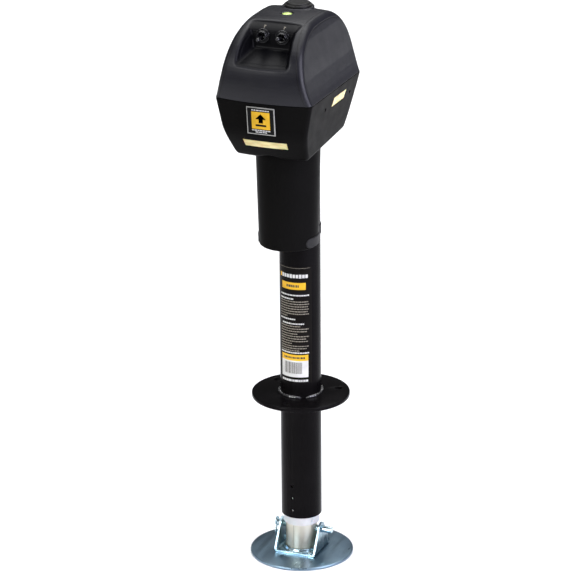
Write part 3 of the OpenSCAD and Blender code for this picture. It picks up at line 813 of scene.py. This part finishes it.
def strap_field(x, y, z):
    tube = np.hypot(x, y) - TUBE_R / MM
    column = column_distance(x, y, z)
    # the rear band is thick only where its screws are
    outer = np.minimum(column - 0.9, tube - 2.8 + 1.7 * ease((np.abs(x) - 13) / 7))
    inner = np.minimum(column + 1.4, tube - 0.3)
    return rounded_cut(np.maximum(outer, -inner), strap_zone(y, z), 0.9)


def strap_seat(x, y, z):
    column = column_distance(x, y, z)
    return np.maximum(np.maximum(-(column + 1.7), column - 4), strap_zone(y, z) - 0.55)


subtract(housing, iso_piece("seat", strap_seat, (-50, -66, 236), (50, 30, 259), 1.0))
window = prism([(x * MM, z * MM) for x, z in grown(FRONT_LENS, 0.25)], 0.05)
carve(housing, place(window, moved(0, -0.10, 0) @ turned(90, "X")))
for side in (-1, 1):
    window = prism([(y * MM, z * MM) for y, z in grown(SIDE_LENS, 0.25)], 0.05)
    turn = Matrix(((0, 0, side, side * 0.05), (1, 0, 0, 0), (0, 1, 0, 0), (0, 0, 0, 1)))
    bmesh.ops.transform(window, matrix=turn, verts=window.verts)
    bmesh.ops.recalc_face_normals(window, faces=window.faces)
    carve(housing, window)
    for y in SCREW_Y:
        drill(housing, (side * 0.05, y, SCREW_Z), (side * 0.08, y, SCREW_Z), 0.0026, 32)
GROMMET = (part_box("lead_grommet")[0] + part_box("lead_grommet")[1]) / 2
drill(housing, (GROMMET.x, GROMMET.y, 0.37), (GROMMET.x, GROMMET.y, 0.4), 0.0071, 48)
dress(housing, M_HOUSING, "jack", ["lower_housing"], angle=38)

strap = iso_piece("strap_band", strap_field, (-50, -66, 238), (50, 36, 257), 0.8)
for side in (-1, 1):
    drill(strap, (side * 0.009, 0.02, STRAP_Z * MM), (side * 0.009, 0.04, STRAP_Z * MM), 0.0022, 24)
dress(strap, M_STRAP, "jack", ["rear_strap"], angle=40)


def lens_field(prism_distance):
    def field(x, y, z):
        outer = head_outer(x, y, z)
        slab = np.maximum(outer + 0.35, -(outer + 2.7))
        return rounded_cut(slab, prism_distance(x, y, z), 0.7)
    return field


front_lens = iso_piece("lens_front", lens_field(lambda x, y, z: outline_distance(FRONT_LENS, x, z)),
                       (-34, -135, 394), (34, -106, 412), 0.7)
dress(front_lens, M_LENS, "jack", ["front_lens"], angle=40)
side_lens = lens_field(lambda x, y, z: outline_distance(SIDE_LENS, y, z))
for name, x_low, nodes in (("lens_side_left", -70, ["side_lenses"]), ("lens_side_right", 56, ())):
    piece = iso_piece(name, side_lens, (x_low, -46, 436), (x_low + 14, 12, 454), 0.7)
    dress(piece, M_LENS, "jack", nodes, angle=40)


# ---------------------------------------------------------------- tube, flange, label

def ring_profile(inner, outer, z0, z1, r):
    """Section of a ring with rounded corners."""
    return (arc((outer - r, z0 + r), r, -90, 0) + arc((outer - r, z1 - r), r, 0, 90)
            + arc((inner + r, z1 - r), r, 90, 180) + arc((inner + r, z0 + r), r, 180, 270))


HOLE_RING_R, HOLE_R = 0.0532, 0.0053      # the flange's three bolt holes
FRONT_HOLES = [-0.130, -0.1485, -0.167]
tube_section = ring_profile(TUBE_R - 0.0032, TUBE_R, TUBE_LOW, high("outer_tube", 2), 0.0007)
tube = scratch(lathe(tube_section, 192), "tube")
for z in FRONT_HOLES:
    turn = turned(-6, "Z")
    drill(tube, turn @ Vector((0, -0.02, z)), turn @ Vector((0, -0.035, z)), 0.0019, 40)
soften(tube, 0.0003, 2, 50)
dress(tube, M_PAINT, "jack", ["outer_tube"], angle=50)

flange = scratch(lathe(ring_profile(TUBE_R, FLANGE_R, 0, FLANGE_T, 0.0016), 192), "flange")
for k in range(3):
    a = math.radians(30 + 120 * k)
    p = Vector((HOLE_RING_R * math.cos(a), HOLE_RING_R * math.sin(a), 0))
    drill(flange, p - Vector((0, 0, 0.01)), p + Vector((0, 0, 0.02)), HOLE_R, 56)
soften(flange, 0.0005, 2, 50)
dress(flange, M_PAINT, "jack", ["mount_flange"], angle=50)


def weld_bead(start, length, seed):
    """A fillet bead with overlapping ripples and uneven width."""
    rng = np.random.default_rng(seed)
    phase = rng.uniform(0, TURN, 4)
    steps, sides = 150, 14
    bm = bmesh.new()
    rings = []
    for k in range(steps + 1):
        t = k / steps
        a = math.radians(start + length * t)
        fade = min(1, math.sin(math.pi * min(max(t, 0.0), 1.0)) * 5 + 0.25)
        ripple = abs(math.sin(t * length * 0.30 + phase[0])) ** 0.6
        width = 0.0047 * fade * (0.84 + 0.16 * math.sin(t * 11 + phase[1]) + 0.05 * ripple)
        lump = 0.80 + 0.2 * ripple + 0.10 * math.sin(t * 23 + phase[2])
        ring = []
        for j in range(sides + 1):
            b = math.pi / 2 * j / sides
            r = TUBE_R - 0.0008 + (width + 0.0008) * math.cos(b) * (0.74 + 0.26 * lump * math.sin(2 * b))
            z = FLANGE_T - 0.0008 + (width + 0.0008) * math.sin(b) * (0.74 + 0.26 * lump * math.sin(2 * b))
            ring.append(bm.verts.new((r * math.cos(a), r * math.sin(a), z)))
        ring.append(bm.verts.new(((TUBE_R - 0.0008) * math.cos(a), (TUBE_R - 0.0008) * math.sin(a),
                                  FLANGE_T - 0.0008)))
        rings.append(ring)
    for a, b in zip(rings, rings[1:]):
        for j in range(len(a)):
            n = (j + 1) % len(a)
            bm.faces.new((a[j], b[j], b[n], a[n]))
    bm.faces.new(rings[0])
    bm.faces.new(rings[-1][::-1])
    bmesh.ops.recalc_face_normals(bm, faces=bm.faces)
    return bm


beads = [weld_bead(66 + 120 * k, 108, 11 + k) for k in range(3)]
link("weld_bead", join(*beads), M_WELD, "jack", ["flange_weld"], angle=60)

# the white bush at the tube's mouth, with its dimples
bush = scratch(lathe(ring_profile(RAM_R + 0.0001, TUBE_R - 0.0033, low("guide_bush", 2),
                                       high("guide_bush", 2), 0.0009), 160), "bush")
for k in range(3):
    turn = turned(-154 + 120 * k, "Z")
    z = TUBE_LOW - 0.0065
    drill(bush, turn @ Vector((TUBE_R - 0.0046, 0, z)), turn @ Vector((0.04, 0, z)), 0.0022, 40)
soften(bush, 0.0003, 2, 50)
dress(bush, M_NYLON, "jack", ["guide_bush"], angle=50)

# printed label: a film with plain bars in place of its print
LABEL_R = TUBE_R + 0.00022
LABEL_HALF = math.radians(53)
LABEL_MIDDLE = math.radians(-87.5)
LABEL_LOW, LABEL_HIGH = low("tube_label", 2), high("tube_label", 2)


def patch(bm, u0, u1, z0, z1, r, slot, thick=0.0):
    """A curved patch between two places round the label (-1 to 1) and two heights."""
    steps = max(1, int(abs(u1 - u0) * 16))
    columns = []
    for k in range(steps + 1):
        a = LABEL_MIDDLE + (u0 + (u1 - u0) * k / steps) * LABEL_HALF
        columns.append([bm.verts.new((r * math.cos(a), r * math.sin(a), z)) for z in (z0, z1)])
    for a, b in zip(columns, columns[1:]):
        bm.faces.new((a[0], b[0], b[1], a[1])).material_index = slot


def words(bm, rng, z, height, start, end, r, slot, longest=0.16):
    """A line of short bars that stands for a line of small print."""
    u = start
    while u < end - 0.02:
        width = min(rng.uniform(0.035, longest), end - u)
        patch(bm, u, u + width, z - height / 2, z + height / 2, r, slot)
        u += width + 0.022


label = bmesh.new()
rng = np.random.default_rng(5)
patch(label, -1, 1, LABEL_LOW, LABEL_HIGH, LABEL_R, 0)
INK_R = LABEL_R + 0.00006
patch(label, -0.92, 0.92, 0.1976, 0.1980, INK_R, 2)
patch(label, -0.86, -0.74, 0.1832, 0.1890, INK_R, 3)
for k in range(9):
    tall = 0.0050 if k % 3 else 0.0056
    patch(label, -0.70 + 0.168 * k, -0.70 + 0.168 * k + 0.132, 0.1860 - tall / 2, 0.1860 + tall / 2, INK_R, 1)
patch(label, -0.72, 0.66, 0.1664, 0.1766, INK_R, 3)
words(label, rng, 0.1716, 0.0036, -0.40, 0.30, INK_R + 0.00004, 4, 0.14)
ROWS = [(158.0, -.84, .84, 1), (152.4, -.86, .0, 1), (148.6, -.86, .80, 0), (145.0, -.86, .84, 0),
        (141.4, -.86, .78, 0), (137.8, -.86, .82, 0), (134.2, -.86, .76, 0), (130.6, -.86, .84, 0),
        (127.0, -.86, -.35, 0), (122.6, -.86, .10, 1), (116.0, -.70, .56, 1), (112.2, -.82, .36, 0),
        (108.4, -.82, .80, 0), (104.8, -.82, .74, 0), (101.0, -.82, .20, 0), (97.4, -.82, .82, 0),
        (93.8, -.82, .66, 0), (90.2, -.82, .76, 0), (86.6, -.82, -.1, 0), (83.0, -.82, .80, 0),
        (79.6, -.82, .70, 0), (76.2, -.82, .30, 0), (73.0, -.82, .84, 1)]
for z, start, end, bold in ROWS:
    words(label, rng, z * MM, (0.0019 if bold else 0.0014), start, end, INK_R, 1 if bold else 2)
patch(label, -0.78, 0.78, 0.0612, 0.0700, INK_R, 3)
words(label, rng, 0.0656, 0.0030, -0.60, 0.60, INK_R + 0.00004, 4, 0.12)
patch(label, -0.78, 0.78, 0.0368, 0.0612, INK_R, 1)
u = -0.52
while u < 0.42:
    width = rng.uniform(0.008, 0.03)
    patch(label, u, u + width, 0.0420, 0.0590, INK_R + 0.00004, 4)
    u += width + rng.uniform(0.010, 0.026)
words(label, rng, 0.0316, 0.0030, -0.76, 0.76, INK_R, 1, 0.2)
link("label_film", label, (M_LABEL, M_WHITE, M_PALE, M_YELLOW, M_INK), "jack", ["tube_label"])


# ---------------------------------------------------------------- badge, screws, cap, level

BADGE_TILT = math.atan2(5, 46)
BADGE = Matrix.Translation((0, (-136 + (464 - 440) * 5 / 46) * MM, 0.440)) @ Matrix.Rotation(
    BADGE_TILT, 4, "X") @ turned(90, "X")


def flat(bm, points, height, slot):
    bm.faces.new([bm.verts.new((x, y, height)) for x, y in points]).material_index = slot


def rectangle(x0, y0, x1, y1):
    return [(x0 * MM, y0 * MM), (x1 * MM, y0 * MM), (x1 * MM, y1 * MM), (x0 * MM, y1 * MM)]


plate = prism([(-0.020, -0.0195), (0.020, -0.0195), (0.020, 0.0195), (-0.020, 0.0195)], 0.0014, 0.0003)
place(plate, moved(0, 0, -0.0008))
TOP = 0.0006
flat(plate, rectangle(-18.6, -18.1, 18.6, 18.1), TOP + 0.00004, 1)
flat(plate, rectangle(-13.0, -11.5, 13.0, 13.0), TOP + 0.00008, 2)
# a plain arrow up over a bar
ARROW = [(0, 10.2), (7.6, 2.6), (3.0, 2.6), (3.0, -2.8), (-3.0, -2.8), (-3.0, 2.6), (-7.6, 2.6)]
flat(plate, [(x * MM, y * MM) for x, y in ARROW], TOP + 0.00012, 1)
flat(plate, rectangle(-7.6, -7.6, 7.6, -4.8), TOP + 0.00012, 1)
rng = np.random.default_rng(3)
for y, start, end in ((15.2, -12.5, 12.5), (-13.4, -13.0, 13.0), (-15.9, -8.0, 8.0)):
    x = start
    while x < end:
        width = min(rng.uniform(2.0, 4.6), end - x)
        flat(plate, rectangle(x, y - 0.75, x + width, y + 0.75), TOP + 0.00008, 3)
        x += width + 0.8
place(plate, BADGE @ moved(0, 0, 0.0006))
link("badge_face", plate, (M_SILVER, M_FIELD, M_YELLOW, M_WHITE), "jack", ["badge_plate"], angle=40)


def pan_head(head_r, head_h, r, length, socket_r):
    """A pan-head screw along +Z from under its head at z = 0, with a six-sided socket."""
    edge = 0.45 * head_h
    section = ([(0, -length), (r, -length), (r, 0), (head_r, 0)]
               + arc((head_r - edge, 0.55 * head_h), edge, 0, 90) + [(0, head_h)])
    piece = scratch(lathe(section, 48, closed=False))
    low_z, high_z = head_h * 0.35, head_h * 2
    socket = lathe([(0, low_z), (socket_r, low_z), (socket_r, high_z), (0, high_z)], 6, closed=False)
    carve(piece, socket)
    return unpack(piece)


heads = []
for side in (-1, 1):
    for y in SCREW_Y:
        x = side * (69 - 0.2 * (464 - 442.6)) * MM
        heads.append(place(pan_head(0.0024, 0.0016, 0.0018, 0.009, 0.0012), moved(x, y, SCREW_Z)
                           @ turned(side * 90, "Y") @ moved(0, 0, -0.003)))
link("housing_screw_heads", join(*heads), M_DARK_STEEL, "jack", ["housing_screws"], angle=40)
heads = [place(pan_head(0.0036, 0.002, 0.002, 0.0005, 0.0012),
               moved(side * 0.009, TUBE_R + 0.0037, STRAP_Z * MM)
               @ turned(-90, "X")) for side in (-1, 1)]
link("strap_screw_heads", join(*heads), M_STEEL, "jack", ["strap_screws"], angle=40)

z0 = CAP_LOW - 0.0002
cap_profile = ([(0, z0 - 0.0035), (0.0107, z0 - 0.0035), (0.0109, z0 - 0.007), (0.0137, z0 - 0.007),
                (0.0137, z0)]
               + arc((CAP_R - 0.0007, z0 + 0.0009), 0.0007, -90, 0, 3)
               + arc((CAP_R - 0.0012, z0 + 0.0022), 0.0012, 0, 90, 4)
               + arc((0.0172, z0 + 0.0040), 0.0006, 270, 180, 3)
               + arc((0.0145, z0 + 0.0042), 0.0016, 0, 72, 5) + [(0.0125, CAP_TOP - 0.0003), (0.006, CAP_TOP),
                                                                 (0, CAP_TOP)])
link("cap_dome", lathe(cap_profile, 128, closed=False), M_CAP, "cap", ["crank_cap"], angle=45)

z0, z1 = low("level_cup", 2), high("level_cup", 2)
rim_profile = ([(0, z0), (LEVEL_R, z0)] + arc((LEVEL_R - 0.0006, z1 - 0.0006), 0.0006, 0, 90, 4)
               + arc((LEVEL_R - 0.0012, z1 - 0.0006), 0.0003, 90, 180, 3)
               + [(LEVEL_R - 0.0015, z0 + 0.0012), (0, z0 + 0.0012)])
link("level_rim", place(lathe(rim_profile, 96, closed=False), moved(LEVEL.x, LEVEL.y, 0)),
     M_SWITCH, "jack", ["level_cup"], angle=45)
r = LEVEL_R - 0.0016
z0, z1 = low("level_vial", 2), high("level_vial", 2)
vial_profile = [(0, z0), (r, z0)] + [(r * math.cos(a), z1 - 0.0022 + 0.0024 * math.sin(a))
                                     for a in np.linspace(0, math.pi / 2, 9)[:-1]] + [(0, z1 + 0.0002)]
link("level_dome", place(lathe(vial_profile, 96, closed=False), moved(LEVEL.x, LEVEL.y, 0)),
     M_VIAL, "jack", ["level_vial"], angle=60)


# ---------------------------------------------------------------- switches

nuts = []
for side, switch, lever in ((1, "drive_switch", "drive_lever"), (-1, "light_switch", "light_lever")):
    washer = lathe([(0.0061, 0.0)] + [(0.0098, 0.0)] + arc((0.0093, 0.0012), 0.0006, -10, 90, 5)
                   + [(0.0062, 0.0018)], 96)
    nut = lathe(arc((0.0070, 0.0038), 0.0005, 0, 90, 2)
                + [(0.0061, 0.0043), (0.0061, 0.0016), (0.0075, 0.0016)], 6)
    boot = lathe([(0.0059, 0.0020), (0.0066, 0.0042)] + arc((0.0056, 0.0052), 0.0011, 0, 90, 6)
                 + [(0.0045, 0.0055), (0.0040, 0.0030)], 64)
    nuts += [place(bm, on_panel(side)) for bm in (washer, nut, boot)]
    body = join(block((-0.007, -0.012, -0.026), (0.007, 0.009, -0.004), 0.0006),
                lathe([(0.0029, -0.005), (0.0059, -0.005), (0.0059, 0.0046), (0.0044, 0.0046),
                       (0.0030, 0.0)], 64))
    link(switch + "_case", place(body, on_panel(side)), M_SWITCH, "jack", [switch], angle=40)
    tilt = turned(13, "X") if side < 0 else Matrix.Identity(4)
    bat = ([(0, -0.002), (0.0018, -0.002), (0.0018, 0.006), (0.0020, 0.009), (0.0025, 0.014), (0.0029, 0.017)]
           + arc((0, 0.018), 0.003, 10, 88, 9) + [(0, 0.021)])
    link(lever + "_bat", place(lathe(bat, 48, closed=False), on_panel(side, tilt)), M_SWITCH, lever, [lever],
         angle=60)
link("switch_bezels", join(*nuts), M_SWITCH, "jack", ["switch_nuts"], angle=38)

# small plain marks above the levers, printed on the panel
marks = bmesh.new()
for side in (-1, 1):
    for x0, y0, x1, y1 in ((-0.6, 9.9, 0.6, 11.2), (-1.5, 11.5, 1.5, 12.1)):
        corners = [on_panel(side) @ Vector((x, y, 0.0003)) for x, y in rectangle(x0, y0, x1, y1)]
        for corner in corners:
            corner.y += lip_back(corner.z / MM) * MM
        marks.faces.new([marks.verts.new(c) for c in corners])
link("panel_marks", marks, M_PALE, "jack", ())

grommet = lathe([(0.0031, 0.3806), (0.0075, 0.3796)] + arc((0.0082, 0.3804), 0.0008, -80, 60, 4)
                + [(0.0071, 0.3822), (0.0069, 0.3915), (0.0031, 0.3918)], 64)
link("grommet_ring", place(grommet, moved(GROMMET.x, GROMMET.y, 0)), M_RUBBER, "jack",
     ["lead_grommet"], angle=50)


# ---------------------------------------------------------------- ram and foot

ram_section = ring_profile(RAM_R - 0.003, RAM_R, low("ram_tube", 2), high("ram_tube", 2), 0.0006)
ram = scratch(lathe(ram_section, 176), "ram")
drill(ram, (-0.05, 0, PIN_Z), (0.05, 0, PIN_Z), PIN_R + 0.00025, 48)
dress(ram, M_RAM, "ram", ["ram_tube"], angle=50)

foot_profile = ([(0, FOOT_LOW)] + arc((FOOT_R - 0.0012, FOOT_LOW + 0.0012), 0.0012, -90, 0, 4)
                + arc((FOOT_R - 0.0016, FOOT_TOP - 0.0016), 0.0016, 0, 90, 5) + [(0, FOOT_TOP)])
link("foot_disc", lathe(foot_profile, 224, closed=False), M_FOOT, "ram", ["foot_plate"], angle=55)

SHEET = 0.003
RIVET_X, RIVET_Y = 0.0215, 0.022
EAR_X = high("foot_bracket", 0)
EAR_TOP = high("foot_bracket", 2)
BASE_HALF = high("foot_bracket", 1)
BEND = 0.0045
EAR_R = EAR_TOP - PIN_Z


def ear_half_width(z):
    """Half width of an ear: full at the base, tapering to a round top about the pin."""
    if z <= FOOT_TOP + 0.004:
        return BASE_HALF
    side = math.radians(20)
    shoulder = PIN_Z + EAR_R * math.sin(side)
    if z >= shoulder:
        return math.sqrt(max(EAR_R ** 2 - (z - PIN_Z) ** 2, 1e-9))
    t = (z - FOOT_TOP - 0.004) / (shoulder - FOOT_TOP - 0.004)
    return BASE_HALF + (EAR_R * math.cos(side) - BASE_HALF) * t


def yoke():
    """A folded yoke: the section's stations from the left ear's top round to the right ear's top."""
    stations = []
    heights = list(np.linspace(FOOT_TOP + BEND, PIN_Z + 0.2 * EAR_R, 12)) + [
        PIN_Z + EAR_R * math.sin(a) for a in np.linspace(math.radians(24), math.radians(88), 9)]
    right = []
    for k in range(7):
        a = math.radians(-90 + 90 * k / 6)
        centre = (EAR_X - BEND, FOOT_TOP + BEND)
        out = (math.cos(a), math.sin(a))
        right.append(((centre[0] + BEND * out[0], centre[1] + BEND * out[1]), out))
    for z in heights:
        right.append(((EAR_X, z), (1, 0)))
    right = [((0, FOOT_TOP), (0, -1))] + right
    left = [((-p[0], p[1]), (-n[0], n[1])) for p, n in right[1:]]
    stations = left[::-1] + right
    bm = bmesh.new()
    rows = []
    for (x, z), (nx, nz) in stations:
        w = ear_half_width(z)
        row = []
        for depth in (0.0, SHEET):
            row.append([bm.verts.new((x - nx * depth, y, z - nz * depth)) for y in (-w, w)])
        rows.append(row)
    for a, b in zip(rows, rows[1:]):
        bm.faces.new((a[0][0], b[0][0], b[0][1], a[0][1]))
        bm.faces.new((a[1][0], a[1][1], b[1][1], b[1][0]))
        bm.faces.new((a[0][0], a[1][0], b[1][0], b[0][0]))
        bm.faces.new((a[0][1], b[0][1], b[1][1], a[1][1]))
    for row in (rows[0], rows[-1]):
        bm.faces.new((row[0][0], row[0][1], row[1][1], row[1][0]))
    bmesh.ops.recalc_face_normals(bm, faces=bm.faces)
    return bm


bracket = scratch(yoke(), "yoke")
drill(bracket, (-0.05, 0, PIN_Z), (0.05, 0, PIN_Z), PIN_R + 0.00008, 48)
for side in (-1, 1):
    p = Vector((side * RIVET_X, -side * RIVET_Y, 0))
    drill(bracket, p + Vector((0, 0, -0.24)), p + Vector((0, 0, -0.225)), 0.003, 40)
soften(bracket, 0.0006, 3, 40)
lip_top = FOOT_TOP + SHEET + 0.004
lip = lathe([(RAM_R + 0.0004, FOOT_TOP + 0.0008), (RAM_R + 0.0060, FOOT_TOP + SHEET - 0.0002)]
            + arc((RAM_R + 0.0058, FOOT_TOP + SHEET + 0.0024), 0.0024, 270, 180, 5)
            + arc((RAM_R + 0.0019, lip_top - 0.0015), 0.0015, 0, 180, 8), 128)
link("foot_yoke", join(unpack(bracket), lip), M_BRACKET, "ram", ["foot_bracket"], angle=38)

rivets = []
for side in (-1, 1):
    z0 = FOOT_TOP + SHEET
    crown = [(0.0046 * math.cos(a), z0 + 0.002 * math.sin(a)) for a in np.linspace(0.1, math.pi / 2, 9)]
    dome = lathe([(0, FOOT_LOW + 0.0003), (0.003, FOOT_LOW + 0.0003), (0.003, z0), (0.0046, z0)]
                 + crown[:-1] + [(0, z0 + 0.002)], 48, closed=False)
    rivets.append(place(dome, moved(side * RIVET_X, -side * RIVET_Y, 0)))
link("rivet_domes", join(*rivets), M_BRACKET, "ram", ["foot_rivets"], angle=60)

PIN_LEFT, PIN_RIGHT = low("pull_pin", 0), high("pull_pin", 0)
shank = ([(0, PIN_LEFT), (PIN_R - 0.001, PIN_LEFT), (PIN_R, PIN_LEFT + 0.001), (PIN_R, PIN_RIGHT - 0.0016)]
         + arc((PIN_R - 0.0014, PIN_RIGHT - 0.0014), 0.0014, 0, 90, 4) + [(0, PIN_RIGHT)])
shank = lathe(shank, 72, closed=False)
pin = scratch(place(shank, moved(0, 0, PIN_Z) @ turned(90, "Y")), "shank")
CLIP_X = (low("pin_clip", 0) + high("pin_clip", 0)) / 2
WIRE = size("pin_clip").x / 2
drill(pin, (CLIP_X, 0, PIN_Z - 0.02), (CLIP_X, 0, PIN_Z + 0.02), WIRE + 0.00015, 32)
pin.name = "pin_shank"
dress(pin, M_PIN, "pin", ["pull_pin"], angle=45)

# hairpin: a straight leg through the pin, a loop, and a waved leg in front
GAP = 0.0085
CLIP_HIGH, CLIP_LOW = high("pin_clip", 2) - GAP / 2 - WIRE, low("pin_clip", 2)
points = [(CLIP_X, 0, z) for z in np.linspace(CLIP_LOW, CLIP_HIGH, 20)]
points += [(CLIP_X, -GAP / 2 + GAP / 2 * math.cos(a), CLIP_HIGH + GAP / 2 * math.sin(a))
           for a in np.linspace(0, math.pi, 26)[1:-1]]
for t in np.linspace(0, 1, 34):
    z = CLIP_HIGH + (CLIP_LOW + 0.005 - CLIP_HIGH) * t
    wave = 0.0016 * math.sin(t * 2.6 * math.pi) * min(1, t * 4)
    points.append((CLIP_X, -GAP + wave, z))
link("clip_wire", sweep(points, WIRE, 18), M_PIN, "clip", ["pin_clip"], angle=60)

# the nodes that stay as they are, inside: each takes a finish of its own
INSIDE = {
    M_STEEL: ["gear_plate", "upper_plate", "plate_standoffs", "plate_screws", "idler_axle", "motor_screws",
              "motor_pinion", "idler_gear", "output_gear", "drive_screw", "bearing_races", "bearing_balls"],
    M_DARK_STEEL: ["motor_can", "gear_circlip"],
    M_BRONZE: ["bearing_cage", "screw_nut"],
    M_NYLON: ["ram_guide_ring"],
    M_BOARD: ["lamp_boards"],
    M_FELT: ["gear_seal"],
    M_MAGNET: ["motor_magnets"],
    M_CORE: ["motor_armature"],
    M_RUBBER: ["circuit_breaker", "motor_end_cap"],
}
for material, nodes in INSIDE.items():
    for node in nodes:
        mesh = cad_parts[node].data
        mesh.materials.clear()
        mesh.materials.append(material)


# ---------------------------------------------------------------- floor, light, camera

def floor_material():
    m = Nodes("floor", (0.93, 0.93, 0.93), 0.75)
    m.tint((0.915, 0.915, 0.92), 1.5, 0.3, 0.7)
    m.wear(0.05, 3)
    m.bump(m.noise(60, 2.0), 0.05 * MM, 0.1)
    return m.material


floor_bm = bmesh.new()
bmesh.ops.create_grid(floor_bm, x_segments=24, y_segments=24, size=9)
mesh = bpy.data.meshes.new("floor")
floor_bm.to_mesh(mesh)
floor_bm.free()
mesh.materials.append(floor_material())
floor = add_object("floor", mesh)
floor.location = (0, 0, FOOT_LOW - 0.0002)


def area_light(name, place_at, target, width, height, power, colour=(1, 1, 1), spread=180):
    data = bpy.data.lights.new(name, "AREA")
    data.shape = "RECTANGLE"
    data.size, data.size_y = width, height
    data.energy = power
    data.color = colour
    data.spread = math.radians(spread)
    lamp = add_object(name, data)
    lamp.location = place_at
    lamp.rotation_euler = (Vector(target) - Vector(place_at)).to_track_quat("-Z", "Y").to_euler()


area_light("top", (0, 0.3, 3.0), (0, 0, 0.2), 3.6, 3.6, 106)
area_light("far_floor", (-0.8, 4.6, 3.2), (-0.8, 4.6, 0), 7.0, 6.0, 165, spread=110)
area_light("right", (2.4, -0.6, 1.15), (0, 0, 0.5), 1.8, 2.4, 96, (0.83, 0.82, 1.0))
area_light("left", (-2.2, -1.2, 1.2), (0, 0, 0.3), 0.4, 2.0, 5)
area_light("front", (-1.5, -3.2, 1.95), (0, 0, 0.5), 1.8, 1.1, 46)
area_light("back", (-0.7, 3.4, 2.6), (0, 0, 0.55), 1.2, 0.7, 6)
area_light("foot", (-0.5, -1.8, 0.3), (0, 0, -0.2), 0.5, 0.3, 0.9, spread=35)

world = bpy.data.worlds.new("studio")
bpy.context.scene.world = world
world.use_nodes = True
world.node_tree.nodes["Background"].inputs["Color"].default_value = (0.95, 0.97, 1.0, 1)
world.node_tree.nodes["Background"].inputs["Strength"].default_value = 0.12

CAMERA_AT = Vector((1.59128, -3.93835, 1.73783))
FORWARD = Vector((-0.35458, 0.86768, -0.34843)).normalized()
RIGHT = Vector((0.92676, 0.37557, -0.00785))
data = bpy.data.cameras.new("camera")
data.lens, data.sensor_width = 204.65, 36
data.clip_start, data.clip_end = 0.05, 60
camera = add_object("camera", data)
RIGHT = (RIGHT - FORWARD * RIGHT.dot(FORWARD)).normalized()
UP = RIGHT.cross(FORWARD)
camera.matrix_world = Matrix(((RIGHT.x, UP.x, -FORWARD.x, CAMERA_AT.x),
                              (RIGHT.y, UP.y, -FORWARD.y, CAMERA_AT.y),
                              (RIGHT.z, UP.z, -FORWARD.z, CAMERA_AT.z), (0, 0, 0, 1)))
bpy.context.scene.camera = camera

scene = bpy.context.scene
scene.view_settings.view_transform = "Standard"
scene.view_settings.look = "None"
scene.view_settings.exposure = 0.0
